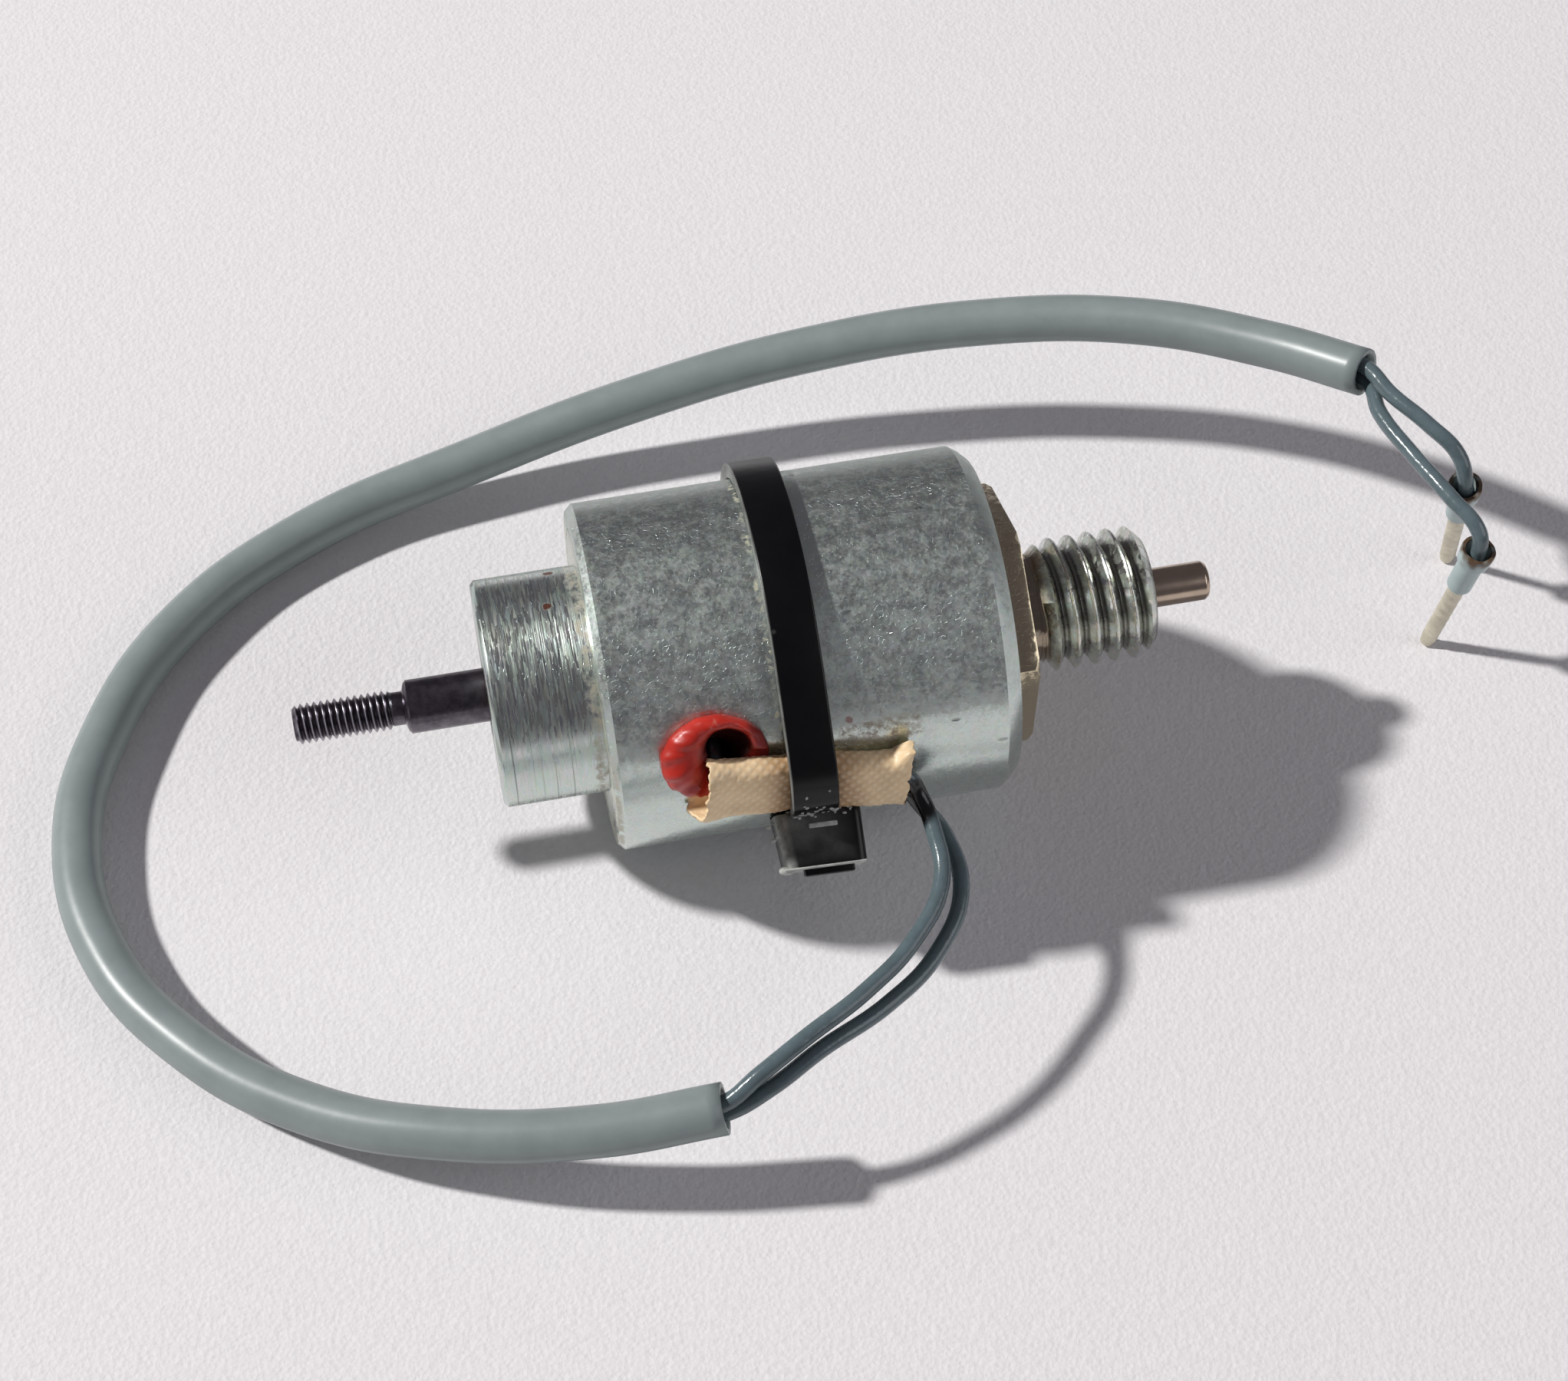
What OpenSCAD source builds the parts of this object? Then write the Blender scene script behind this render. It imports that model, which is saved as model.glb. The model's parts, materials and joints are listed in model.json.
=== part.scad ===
// Tubular push pull solenoid with an M10 nose stud, a hex flange and a free pair of leads.
// The plunger axis is X: the nose and its push pin point to +X, the threaded rod to -X.
// The origin is on that axis, in the front face of the hex flange, which seats on a panel.

/* [Housing] */
// Outer diameter of the steel tube
housing_d = 26; // [24:0.5:30]
// Length of the steel tube
housing_len = 30; // [28:0.5:36]
// Wall of the steel tube
housing_wall = 1.8; // [1.2:0.1:2.2]
// Length of the bevel at the front rim
front_bevel_len = 1.2; // [0.4:0.1:1.6]
// Height of the bevel at the front rim
front_bevel_h = 1; // [0.4:0.1:1.1]
// Chamfer of the rear rim
rear_chamfer = 0.5; // [0.2:0.1:0.8]

/* [Rear end piece] */
// Diameter of the rear boss
boss_d = 17; // [15:0.5:19]
// Length of the rear boss behind the tube
boss_len = 7.8; // [7:0.2:10]
// Chamfer on the end of the boss
boss_chamfer = 0.3; // [0.1:0.1:0.8]
// Thickness of the plate inside the tube
rear_plate_t = 4; // [3:0.5:5]
// Thickness of the boss's end wall, which holds the rod bush
boss_wall = 2.5; // [2:0.1:3]
// Outer diameter of the rod bush
rod_bush_d = 7; // [6:0.2:8]

/* [Front pole] */
// Width across the flats of the hex flange
hex_af = 17; // [16:0.5:19]
// Thickness of the hex flange
hex_t = 2; // [1.5:0.1:3]
// Turn of the hex about the axis
hex_turn = 4; // [0:1:30]
// Trim of the hex's corners at its front face
hex_trim = 0.4; // [0.2:0.1:0.6]
// Diameter of the plain neck
neck_d = 8; // [7.6:0.1:8.2]
// Length of the plain neck
neck_len = 1.5; // [1:0.1:3]
// Thread diameter of the nose stud
stud_d = 10; // [9.8:0.1:11]
// Thread pitch of the nose stud
stud_pitch = 1.5; // [1.25:0.05:1.6]
// Threaded length of the nose stud
stud_len = 8.8; // [7:0.2:14]
// Chamfer on the end of the stud
stud_chamfer = 0.85; // [0.5:0.05:1]
// Thickness of the plate inside the tube
front_plate_t = 4; // [3:0.5:5]
// Bore of the pole round the push pin
pole_bore_d = 3.8; // [3.6:0.1:4.2]
// Outer diameter of the pin bush
pin_bush_d = 5; // [4.6:0.1:5.4]
// Length of the pin bush
pin_bush_len = 2.7; // [2:0.1:4]

/* [Plunger] */
// Diameter of the plunger
plunger_d = 9.6; // [9:0.1:9.8]
// Length of the plunger
plunger_len = 18; // [15:0.5:19]
// Travel of the plunger
stroke = 5; // [3:0.5:5.5]
// Diameter of the rod
rod_d = 4; // [3.6:0.1:4.4]
// Smooth length of the rod outside the boss
rod_out = 6; // [5.8:0.2:10]
// Thread diameter of the rod end
rod_thread_d = 3; // [2.8:0.1:3.2]
// Thread pitch of the rod end
rod_pitch = 0.5; // [0.45:0.05:0.6]
// Number of thread turns on the rod end
rod_turns = 14; // [8:1:20]
// Diameter of the undercut behind the rod thread
undercut_d = 2.5; // [2.3:0.1:2.9]
// Length of the undercut behind the rod thread
undercut_len = 1; // [0.5:0.1:1.5]
// Diameter of the push pin
pin_d = 3; // [2.6:0.1:3.2]
// Length of the push pin beyond the stud
pin_out = 4.8; // [3:0.2:8]
// Depth to which the rod is pressed into the plunger
rod_seat = 8; // [6:0.5:8.5]
// Depth to which the pin is pressed into the plunger
pin_seat = 8; // [5:0.5:8.5]
// Thickness of the anti-residual washer
residual_t = 0.3; // [0.2:0.1:0.5]
// Thickness of the rubber bumper behind the plunger
bumper_t = 1.15; // [0.8:0.05:1.4]

/* [Coil] */
// Wall of the brass guide tube
guide_wall = 0.35; // [0.2:0.05:0.4]
// Wall of the bobbin's tube
bobbin_wall = 0.8; // [0.6:0.1:1]
// Thickness of the bobbin's flanges
bobbin_flange = 1.2; // [0.8:0.1:1.6]
// Room for the splices between the wound coil and the housing
splice_room = 1.8; // [1.6:0.1:3]
// Thickness of the tape over the winding
tape_t = 0.2; // [0.1:0.1:0.3]
// Thickness of the fibre washer behind the bobbin
fibre_t = 0.5; // [0.3:0.1:1]

/* [Cable outlet] */
// Distance of the outlet hole from the rear rim
hole_back = 7.3; // [7:0.1:9]
// Angle of the outlet hole above the horizontal
hole_angle = 21.5; // [19:0.5:24]
// Diameter of the outlet hole in the tube
hole_d = 5; // [4.6:0.1:5.4]
// Outer diameter of the silicone grommet
grommet_d = 7.5; // [7:0.1:8]
// Bore of the grommet
grommet_bore = 3.2; // [3:0.1:3.4]
// Length of the glass fibre sleeve
sleeve_len = 14.8; // [13:0.2:18]
// Flat width of the sleeve
sleeve_w = 5.4; // [5.2:0.1:6]
// Thickness of the flattened sleeve
sleeve_t = 2; // [1.9:0.1:2.3]
// Wall of the sleeve
sleeve_wall = 0.3; // [0.2:0.05:0.3]
// Distance round the tube from the hole down to the sleeve's middle
sleeve_drop = 2.7; // [2.6:0.1:3]
// Slant of the sleeve on the tube
sleeve_slant = 9.7; // [8:0.1:11]

/* [Cable tie] */
// Distance of the strap's middle from the rear rim
tie_back = 14; // [13.5:0.1:16]
// Width of the strap
tie_w = 3.4; // [2.5:0.1:4.8]
// Thickness of the strap
tie_t = 1.2; // [1:0.1:1.4]
// Size of the head along the tube
head_w = 6.2; // [5.6:0.1:7]
// Size of the head round the tube
head_l = 4.5; // [4.2:0.1:5]
// Height of the head off the tube
head_h = 4.2; // [4:0.1:5.5]
// Angle below horizontal that the head faces
head_angle = 30; // [28:1:32]
// Shift of the head from that angle, up round the tube
head_shift = 5; // [4.9:0.1:5.3]

/* [Leads] */
// Diameter of each lead over its insulation
lead_d = 1.25; // [1:0.05:1.26]
// Outer diameter of the PVC tube
tube_d = 3.8; // [3.6:0.1:4]
// Bore of the PVC tube
tube_bore = 3; // [2.9:0.1:3.2]
// Diameter of each solder splice
splice_d = 1.4; // [1.3:0.05:1.45]
// Length of each solder splice
splice_len = 5; // [3:0.5:7]

/* [Ferrules] */
// Diameter of the tinned pin
ferrule_pin_d = 1.15; // [1:0.05:1.3]
// Free length of the tinned pin
ferrule_pin_len = 8.8; // [8:0.1:8.8]
// Length of the plastic collar
collar_len = 5.2; // [5.2:0.1:6]
// Diameter of the collar's mouth
collar_mouth_d = 2.7; // [2.5:0.1:3.2]
// Diameter of the collar at the pin
collar_end_d = 2; // [1.9:0.1:2.3]
// Bore of the collar round the lead
collar_bore_d = 1.7; // [1.6:0.05:1.7]

/* [Hidden] */
$fn = 96;

// Shallow relief in the hex round the neck, wider than the thread
hex_corner = hex_af / 2 / cos(30);
relief_r = stud_d / 2 + 0.1;
relief_t = 0.15;

// Clearances
seat = 0.05;      // between fixed pieces that seat on each other
press = 0.01;     // round a shaft that is pressed in
run_plunger = 0.04; // radial, plunger in its guide tube
run_rod = 0.03;   // radial, rod and pin in their bushes
stop_gap = 0.1;   // left at each end of the travel
cut = 0.01;       // how far a cutting tool passes a face

// Places along the axis
front_x = -hex_t;
rear_x = front_x - housing_len;
boss_x = rear_x - boss_len;
boss_floor_x = boss_x + boss_wall;
rear_plate_x = rear_x + rear_plate_t;
front_plate_x = front_x - front_plate_t;
plunger_x = boss_floor_x + seat + bumper_t + stop_gap;
plunger_front_x = plunger_x + plunger_len;
pole_face_x = plunger_front_x + residual_t + stroke + stop_gap;
stud_x = neck_len + stud_len;
pin_bush_x = stud_x - 0.2 - pin_bush_len;
rod_shoulder_x = boss_x - rod_out;
rod_thread_x = rod_shoulder_x - undercut_len;
bobbin_x = rear_plate_x + 2 * seat + fibre_t;
bobbin_len = front_plate_x - seat - bobbin_x;
tie_x = rear_x + tie_back;
hole_x = rear_x + hole_back;

// Radii, and angles round the tube
tube_r = housing_d / 2;
sleeve_angle = hole_angle - sleeve_drop / tube_r * 180 / PI;
tube_in_r = tube_r - housing_wall;
guide_r = plunger_d / 2 + run_plunger;
guide_out_r = guide_r + guide_wall;
bobbin_r = guide_out_r + seat + bobbin_wall;
flange_gap = 0.35;  // bobbin flange to housing
flange_r = tube_in_r - flange_gap;
tape_r = tube_in_r - splice_room;
winding_r = tape_r - tape_t;

// Threads have 60 degree flanks and a narrow flat on each crest
function thread_depth(pitch) = 0.6134 * pitch;
crest = 0.14;     // width of the crest flat as a share of the pitch
stud_turns = floor((stud_len - stud_chamfer - 0.3) / stud_pitch);

function ridges(start, turns, pitch, r) =
    let (h = thread_depth(pitch), flat = crest * pitch, base = flat + 2 * h * tan(30))
    [for (i = [0:turns - 1])
        let (mid = start + (i + 0.5) * pitch)
        each [[r - h, mid - base / 2], [r, mid - flat / 2], [r, mid + flat / 2], [r - h, mid + base / 2]]];

// A solid of revolution about X, from an outline of [radius, x] points
module turned(outline) {
    rotate([0, 90, 0]) mirror([1, 0, 0]) rotate_extrude() polygon(outline);
}

// A plain ring about X
module ring_x(x, len, r, bore_r) {
    turned([[bore_r, x], [r, x], [r, x + len], [bore_r, x + len]]);
}

// Stands a shape on the side of the tube: its Z points outwards and its Y up round the tube
module on_side(x, angle) {
    translate([x, 0, 0]) rotate([90 - angle, 0, 0]) children();
}

function side(x, angle, p) =
    [x + p.x, p.y * sin(angle) - p.z * cos(angle), p.y * cos(angle) + p.z * sin(angle)];

// Points a shape's Z from one point towards another
module aimed(from, to) {
    d = to - from;
    translate(from) rotate([0, acos(d.z / norm(d)), atan2(d.y, d.x)]) children();
}

// --- Housing and its end pieces ---

module housing_tube() color("#aab4b3") difference() {
    turned([
        [tube_in_r, rear_x], [tube_r - rear_chamfer, rear_x], [tube_r, rear_x + rear_chamfer],
        [tube_r, front_x - front_bevel_len], [tube_r - front_bevel_h, front_x], [tube_in_r, front_x]
    ]);
    on_side(hole_x, hole_angle) cylinder(d = hole_d, h = housing_d);
}

module rear_end_piece() color("#9fa8a4") turned([
    [guide_out_r + seat, rear_plate_x], [guide_out_r + seat, boss_floor_x],
    [rod_bush_d / 2 + press, boss_floor_x], [rod_bush_d / 2 + press, boss_x],
    [boss_d / 2 - boss_chamfer, boss_x], [boss_d / 2, boss_x + boss_chamfer], [boss_d / 2, rear_x],
    [tube_in_r - seat, rear_x], [tube_in_r - seat, rear_plate_x]
]);

module rod_bush() color("#b08d57")
    ring_x(boss_x + 0.2, boss_wall - 0.2, rod_bush_d / 2, rod_d / 2 + run_rod);

module rear_bumper() color("#2b2b2b")
    ring_x(boss_floor_x + seat, bumper_t, guide_r - seat, rod_d / 2 + 0.3);

module front_pole() color("#8f938c") difference() {
    union() {
        turned(concat(
            [[0, pole_face_x], [guide_r - seat, pole_face_x], [guide_r - seat, front_plate_x],
             [tube_in_r - seat, front_plate_x], [tube_in_r - seat, front_x], [neck_d / 2, front_x],
             [neck_d / 2, neck_len]],
            ridges(neck_len, stud_turns, stud_pitch, stud_d / 2),
            [[stud_d / 2, stud_x - stud_chamfer], [stud_d / 2 - stud_chamfer, stud_x], [0, stud_x]]));
        intersection() {
            translate([front_x, 0, 0]) rotate([hex_turn, 0, 0]) rotate([0, 90, 0])
                cylinder(r = hex_corner, h = hex_t, $fn = 6);
            turned([[0, front_x], [hex_corner + cut, front_x], [hex_corner + cut, -hex_trim],
                    [hex_corner - hex_trim, 0], [relief_r, 0], [relief_r, -relief_t], [0, -relief_t]]);
        }
    }
    turned([[0, pole_face_x - cut], [pole_bore_d / 2, pole_face_x - cut], [pole_bore_d / 2, pin_bush_x],
            [pin_bush_d / 2 + press, pin_bush_x], [pin_bush_d / 2 + press, stud_x + cut], [0, stud_x + cut]]);
}

module pin_bush() color("#b08d57")
    ring_x(pin_bush_x, pin_bush_len, pin_bush_d / 2, pin_d / 2 + run_rod);

// --- Moving set ---

module plunger() color("#9a9da0") turned([
    [rod_d / 2 + press, plunger_x], [plunger_d / 2 - 0.3, plunger_x], [plunger_d / 2, plunger_x + 0.3],
    [plunger_d / 2, plunger_front_x - 0.3], [plunger_d / 2 - 0.3, plunger_front_x],
    [pin_d / 2 + press, plunger_front_x], [pin_d / 2 + press, plunger_front_x - pin_seat],
    [0, plunger_front_x - pin_seat], [0, plunger_x + rod_seat], [rod_d / 2 + press, plunger_x + rod_seat]
]);

module plunger_rod() color("#26242a") {
    r = rod_thread_d / 2;
    tip_x = rod_thread_x - rod_turns * rod_pitch;
    turned(concat(
        [[0, tip_x - 0.3], [r - 0.4, tip_x - 0.3], [r - thread_depth(rod_pitch), tip_x]],
        ridges(tip_x, rod_turns, rod_pitch, r),
        [[undercut_d / 2, rod_thread_x], [undercut_d / 2, rod_shoulder_x], [rod_d / 2 - 0.2, rod_shoulder_x],
         [rod_d / 2, rod_shoulder_x + 0.2], [rod_d / 2, plunger_x + rod_seat - seat],
         [0, plunger_x + rod_seat - seat]]));
}

module push_pin() color("#8d8780") {
    r = pin_d / 2;
    tip = stud_x + pin_out;
    turned([[0, plunger_front_x - pin_seat + seat], [r, plunger_front_x - pin_seat + seat], [r, tip - 0.3],
            [r - 0.25, tip], [0, tip]]);
}

module residual_washer() color("#c2a45a")
    ring_x(plunger_front_x, residual_t, plunger_d / 2 - 0.4, pin_d / 2 + press);

// --- Coil ---

module guide_tube() color("#c7a860")
    ring_x(boss_floor_x + seat, front_plate_x - boss_floor_x - 2 * seat, guide_out_r, guide_r);

module fibre_washer() color("#b5472f")
    ring_x(rear_plate_x + seat, fibre_t, flange_r, guide_out_r + seat);

module bobbin() color("#e8e4d8") {
    bore = guide_out_r + seat;
    back = bobbin_x + bobbin_len;
    turned([[bore, bobbin_x], [flange_r, bobbin_x], [flange_r, bobbin_x + bobbin_flange],
            [bobbin_r, bobbin_x + bobbin_flange], [bobbin_r, back - bobbin_flange],
            [flange_r, back - bobbin_flange], [flange_r, back], [bore, back]]);
}

wound_x = bobbin_x + bobbin_flange + seat;
wound_len = bobbin_len - 2 * bobbin_flange - 2 * seat;

module coil_winding() color("#b5652b")
    ring_x(wound_x, wound_len, winding_r, bobbin_r + seat);

module winding_tape() color("#d9b53a")
    ring_x(wound_x, wound_len, tape_r, winding_r + press);

// --- Cable outlet ---

// Flattened outline of the sleeve, Z outwards, with its ends as half circles
module sleeve_outline(grow) {
    r = sleeve_t / 2 + grow;
    half = sleeve_w / 2 - sleeve_t / 2;
    translate([0, tube_r + seat + sleeve_t / 2]) {
        square([2 * half, 2 * r], center = true);
        for (s = [-1, 1]) translate([s * half, 0]) circle(r = r);
    }
}

sleeve_x = hole_x - 1.15 + sleeve_len / 2;

module sleeve_bar(grow) {
    on_side(sleeve_x, sleeve_angle) rotate([0, 0, -sleeve_slant])
        translate([-sleeve_len / 2 - max(grow, 0), 0, 0]) rotate([90, 0, 90])
        linear_extrude(sleeve_len + 2 * max(grow, 0)) sleeve_outline(grow);
}

module glass_sleeve() color("#d8c6a0") difference() {
    sleeve_bar(0);
    on_side(sleeve_x, sleeve_angle) rotate([0, 0, -sleeve_slant])
        translate([-sleeve_len / 2 - cut, 0, 0]) rotate([90, 0, 90])
        linear_extrude(sleeve_len + 2 * cut) sleeve_outline(-sleeve_wall);
    on_side(hole_x, hole_angle) cylinder(d = grommet_bore + 0.8, h = tube_r + seat + sleeve_t - 0.6);
}

// The lip is a ring on the tube, the neck fills the hole and a thin collar holds it inside
lip_r = 1.1;      // roundness of the grommet's lip
lip_lift = 0.3;   // height of the lip's middle off the tube

module lead_grommet() color("#c4261c") {
    ring_r = grommet_d / 2 - lip_r;
    lip_z = tube_r + lip_lift;
    difference() {
        on_side(hole_x, hole_angle) union() {
            translate([0, 0, tube_r - 2]) cylinder(r = ring_r, h = lip_z + lip_r - tube_r + 2);
            translate([0, 0, tube_r - 2]) cylinder(d = grommet_d, h = lip_z - tube_r + 2);
            translate([0, 0, lip_z]) rotate_extrude() translate([ring_r, 0]) circle(r = lip_r);
        }
        rotate([0, 90, 0]) cylinder(r = tube_r + 0.02, h = 4 * housing_len, center = true);
        on_side(hole_x, hole_angle) grommet_bore_cut();
        sleeve_bar(seat);
    }
    difference() {
        on_side(hole_x, hole_angle) {
            cylinder(d = hole_d - 2 * seat, h = tube_r + 0.5);
        }
        rotate([0, 90, 0]) cylinder(r = flange_r + 0.1, h = 4 * housing_len, center = true);
        on_side(hole_x, hole_angle) grommet_bore_cut();
        sleeve_bar(seat);
    }
}

// Straight bore that opens into a wider mouth
module grommet_bore_cut() {
    inside = tape_r;
    mouth = tube_r + lip_lift;
    translate([0, 0, inside]) cylinder(d = grommet_bore, h = mouth + lip_r - inside + cut);
    translate([0, 0, mouth + 0.6]) cylinder(d1 = grommet_bore, d2 = grommet_bore + 1.6, h = lip_r - 0.3);
}

// --- Cable tie ---

// Outline of the strap: the round tube, with the sleeve bridged by straight runs
module strap_outline(grow) {
    r = tube_r + seat;
    s = sleeve_t / 2 + 0.07;
    reach = sleeve_w / 2 - sleeve_t / 2 + tie_w / 2 * tan(sleeve_slant) + 0.1;
    mid_z = r + sleeve_t / 2;
    far = norm([reach, mid_z]);
    lean = atan2(reach, mid_z) + acos((r - s) / far);
    circle(r = r + grow);
    for (k = [-1, 1]) translate([k * reach, mid_z]) circle(r = s + grow);
    polygon([
        [0, 0], (r + grow) * [sin(lean), cos(lean)],
        [reach, mid_z] + (s + grow) * [sin(lean), cos(lean)], [reach, mid_z + s + grow],
        [-reach, mid_z + s + grow], [-reach, mid_z] + (s + grow) * [-sin(lean), cos(lean)],
        (r + grow) * [-sin(lean), cos(lean)]
    ]);
}

tail_out = 0.8;  // cut tail left beyond the head
slot_out = 2.3;  // from the head's base to the pocket in its upper face

module head_block() {
    c = 0.4;
    w = head_w / 2;
    l = head_l / 2;
    linear_extrude(head_h) polygon([
        [c - w, -l], [w - c, -l], [w, c - l], [w, l - c], [w - c, l], [c - w, l], [-w, l - c], [-w, c - l]
    ]);
}

// Stands its children on the head's base, which clears the tube at its lower edge
module on_head() {
    base = sqrt(pow(tube_r + 0.1, 2) - pow(head_shift - head_l / 2, 2));
    on_side(tie_x + 0.4, -head_angle) translate([0, head_shift, base]) children();
}

module cable_tie() color("#131416") difference() {
    union() {
        on_side(tie_x - tie_w / 2, sleeve_angle) rotate([90, 0, 90]) linear_extrude(tie_w) difference() {
            strap_outline(tie_t);
            strap_outline(0);
        }
        difference() {
            on_head() {
                head_block();
                translate([-tie_w / 2, -tie_t, 0.2]) cube([tie_w, tie_t, head_h + tail_out - 0.2]);
            }
            sleeve_bar(seat);
        }
    }
    on_head() translate([-1, head_l / 2 - 0.8, slot_out]) cube([2, 2, 0.5]);
}

// --- Leads, tube and ferrules ---

floor_z = -(tube_r + seat + tie_t);

// Point inside the sleeve: along it, up from its middle line, and out from the axis
function in_sleeve(u, v) =
    let (c = cos(sleeve_slant), s = sin(sleeve_slant))
    side(sleeve_x, sleeve_angle, [u * c + v * s, v * c - u * s, tube_r + seat + sleeve_t / 2]);

// Run of a lead from its splice, out through the grommet and along the sleeve
lead_gap = lead_d + 0.06;
splice_r = tape_r + splice_room / 2;
splice_back = 4.3;  // from the hole to where the leads enter the splices
lead_side = sleeve_w / 2 - sleeve_wall - lead_gap - 0.12;  // from the sleeve's middle line to the pair's
function held_run(k) = [
    side(hole_x, hole_angle, [splice_back, k * lead_gap / 2, splice_r]),
    side(hole_x, hole_angle, [1.6, k * lead_gap / 2, splice_r]),
    side(hole_x, hole_angle, [0.3, k * lead_gap / 2, splice_r + 0.7]),
    side(hole_x, hole_angle, [-0.1, k * lead_gap / 2, tube_r - 0.6]),
    in_sleeve(-sleeve_len / 2 + 1.4, lead_side + k * lead_gap / 2),
    in_sleeve(-sleeve_len / 2 + 4, 0.8 * lead_side + k * lead_gap / 2),
    in_sleeve(sleeve_len / 2, k * lead_gap / 2 - lead_side)
];

// Free run from the sleeve to the lower end of the PVC tube
free_a = [
    [-10, -14.9, -0.1], [-9.4, -17.2, -1.1], [-9.9, -21, -2.3], [-12.8, -25.2, -2.8],
    [-17, -28.7, -2.7], [-22, -31.5, -3], [-25.5, -33.2, -3.9]
];
free_b = [
    [-9.8, -14.9, -1.5], [-8.4, -17.2, -2.5], [-8.5, -21.3, -3.6], [-11.2, -25.7, -4.3],
    [-15.6, -29.3, -4.1], [-21, -32, -4.1], [-24.8, -33.7, -5.1]
];

// Middle line of the PVC tube, from the coil end to the ferrule end
tube_route = [
    [-28.2, -34.2, -6], [-37, -33.4, -7.6], [-47.9, -30.6, -9.2], [-57.4, -25.7, -10.8],
    [-65.4, -18.4, -11.6], [-70.8, -9.2, -12.05], [-72.2, 1.3, -12.1], [-69.5, 10.9, -12.2],
    [-63, 20.5, -12.3], [-52, 27.9, -12.1], [-38, 31.6, -10.7], [-23.4, 33.4, -8],
    [-8.8, 33.7, -5.5], [5, 31.9, -3.3], [17, 27.7, -1.2], [26.3, 21.3, 0.8], [32, 15.4, 2.8]
];

// Run from the tube to each ferrule
out_a = [[33.2, 12.5, 3.2], [35.2, 9.2, 2.9], [37, 6.6, 1.6]];
out_b = [[32.2, 11.7, 2.1], [33.4, 7.2, 2.1], [35, 2.4, 2.1], [36.4, -0.5, 1.2]];

// Tip of each ferrule's pin, which stands on the surface, and a point up its axis
tip_a = [39.3, 8.6, -14.05];
up_a = [37.5, 5.3, -0.2];
tip_b = [35.1, 0.8, -14.1];
up_b = [36.5, -1.1, -0.2];

function unit(v) = v / norm(v);
function toward(from, to, d) = from + unit(to - from) * d;
function tangents(p) = [for (i = [0:len(p) - 1]) unit(p[min(i + 1, len(p) - 1)] - p[max(i - 1, 0)])];
function square_to(v, t) = unit(v - (v * t) * t);

// Leads lie one above the other in the PVC tube
function in_tube(k) =
    let (t = tangents(tube_route))
    [for (i = [0:len(tube_route) - 1]) tube_route[i] + k * lead_gap / 2 * square_to([0, 0, 1], t[i])];

ferrule_len = ferrule_pin_len + collar_len;
pin_stub = 1.2;   // length of pin held inside the collar
function end_run(tip, up) = [toward(tip, up, ferrule_len), toward(tip, up, ferrule_pin_len + pin_stub + 0.02)];

route_a = concat(held_run(1), free_a, in_tube(1), out_a, end_run(tip_a, up_a));
route_b = concat(held_run(-1), free_b, in_tube(-1), out_b, end_run(tip_b, up_b));

// Rings square to a route, carried along it without twisting
function frames(t, start) =
    [for (i = 0, n = square_to(start, t[0]); i < len(t);
          i = i + 1, n = i < len(t) ? square_to(n, t[i]) : n) n];
function rings(route, r, sides) =
    let (t = tangents(route), n = frames(t, [0.1, 0.2, 1]))
    [for (i = [0:len(route) - 1])
        let (b = cross(t[i], n[i]))
        for (j = [0:sides - 1]) route[i] + r * (cos(360 * j / sides) * n[i] + sin(360 * j / sides) * b)];
function skin(count, sides, first, flip) =
    [for (i = [0:count - 2], j = [0:sides - 1])
        let (a = first + i * sides + j, b = first + i * sides + (j + 1) % sides)
        flip ? [a, a + sides, b + sides, b] : [a, b, b + sides, a + sides]];

module solid_sweep(route, d) {
    sides = 8;
    count = len(route);
    last = (count - 1) * sides;
    polyhedron(
        points = rings(route, d / 2, sides),
        faces = concat(
            skin(count, sides, 0, true),
            [[for (j = [0:sides - 1]) j], [for (j = [sides - 1:-1:0]) last + j]]),
        convexity = 8);
}

module hollow_sweep(route, d, bore) {
    sides = 8;
    count = len(route);
    inner = count * sides;
    last = (count - 1) * sides;
    polyhedron(
        points = concat(rings(route, d / 2, sides), rings(route, bore / 2, sides)),
        faces = concat(
            skin(count, sides, 0, true), skin(count, sides, inner, false),
            [for (j = [0:sides - 1]) let (k = (j + 1) % sides) [j, k, inner + k, inner + j]],
            [for (j = [0:sides - 1]) let (k = (j + 1) % sides)
                [last + k, last + j, inner + last + j, inner + last + k]]),
        convexity = 8);
}

module lead_a() color("#2f4a52") solid_sweep(route_a, lead_d);
module lead_b() color("#27404a") solid_sweep(route_b, lead_d);
module lead_tube() color("#7f918f") hollow_sweep(tube_route, tube_d, tube_bore);

module lead_splices() color("#3a3f45") for (k = [-1, 1])
    on_side(hole_x + splice_back, hole_angle) translate([0.02, k * splice_d * 0.52, splice_r])
    rotate([0, 90, 0]) cylinder(d = splice_d, h = splice_len);

module ferrule_pin(tip, up) color("#d9d6c8") aimed(tip, up) {
    translate([0, 0, 0.25]) cylinder(d = ferrule_pin_d, h = ferrule_pin_len + pin_stub - 0.25);
    cylinder(d1 = ferrule_pin_d - 0.35, d2 = ferrule_pin_d, h = 0.25);
}

module ferrule_collar(tip, up) color("#b9d2da") aimed(tip, up)
    translate([0, 0, ferrule_pin_len]) rotate_extrude() polygon([
        [ferrule_pin_d / 2 + press, 0], [collar_end_d / 2, 0], [collar_end_d / 2 + 0.12, collar_len - 1],
        [collar_mouth_d / 2, collar_len], [collar_mouth_d / 2 - 0.2, collar_len],
        [collar_bore_d / 2, collar_len - 1], [collar_bore_d / 2, pin_stub], [ferrule_pin_d / 2 + press, pin_stub]
    ]);

module ferrule_pin_a() ferrule_pin(tip_a, up_a);
module ferrule_pin_b() ferrule_pin(tip_b, up_b);
module ferrule_collar_a() ferrule_collar(tip_a, up_a);
module ferrule_collar_b() ferrule_collar(tip_b, up_b);

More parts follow.
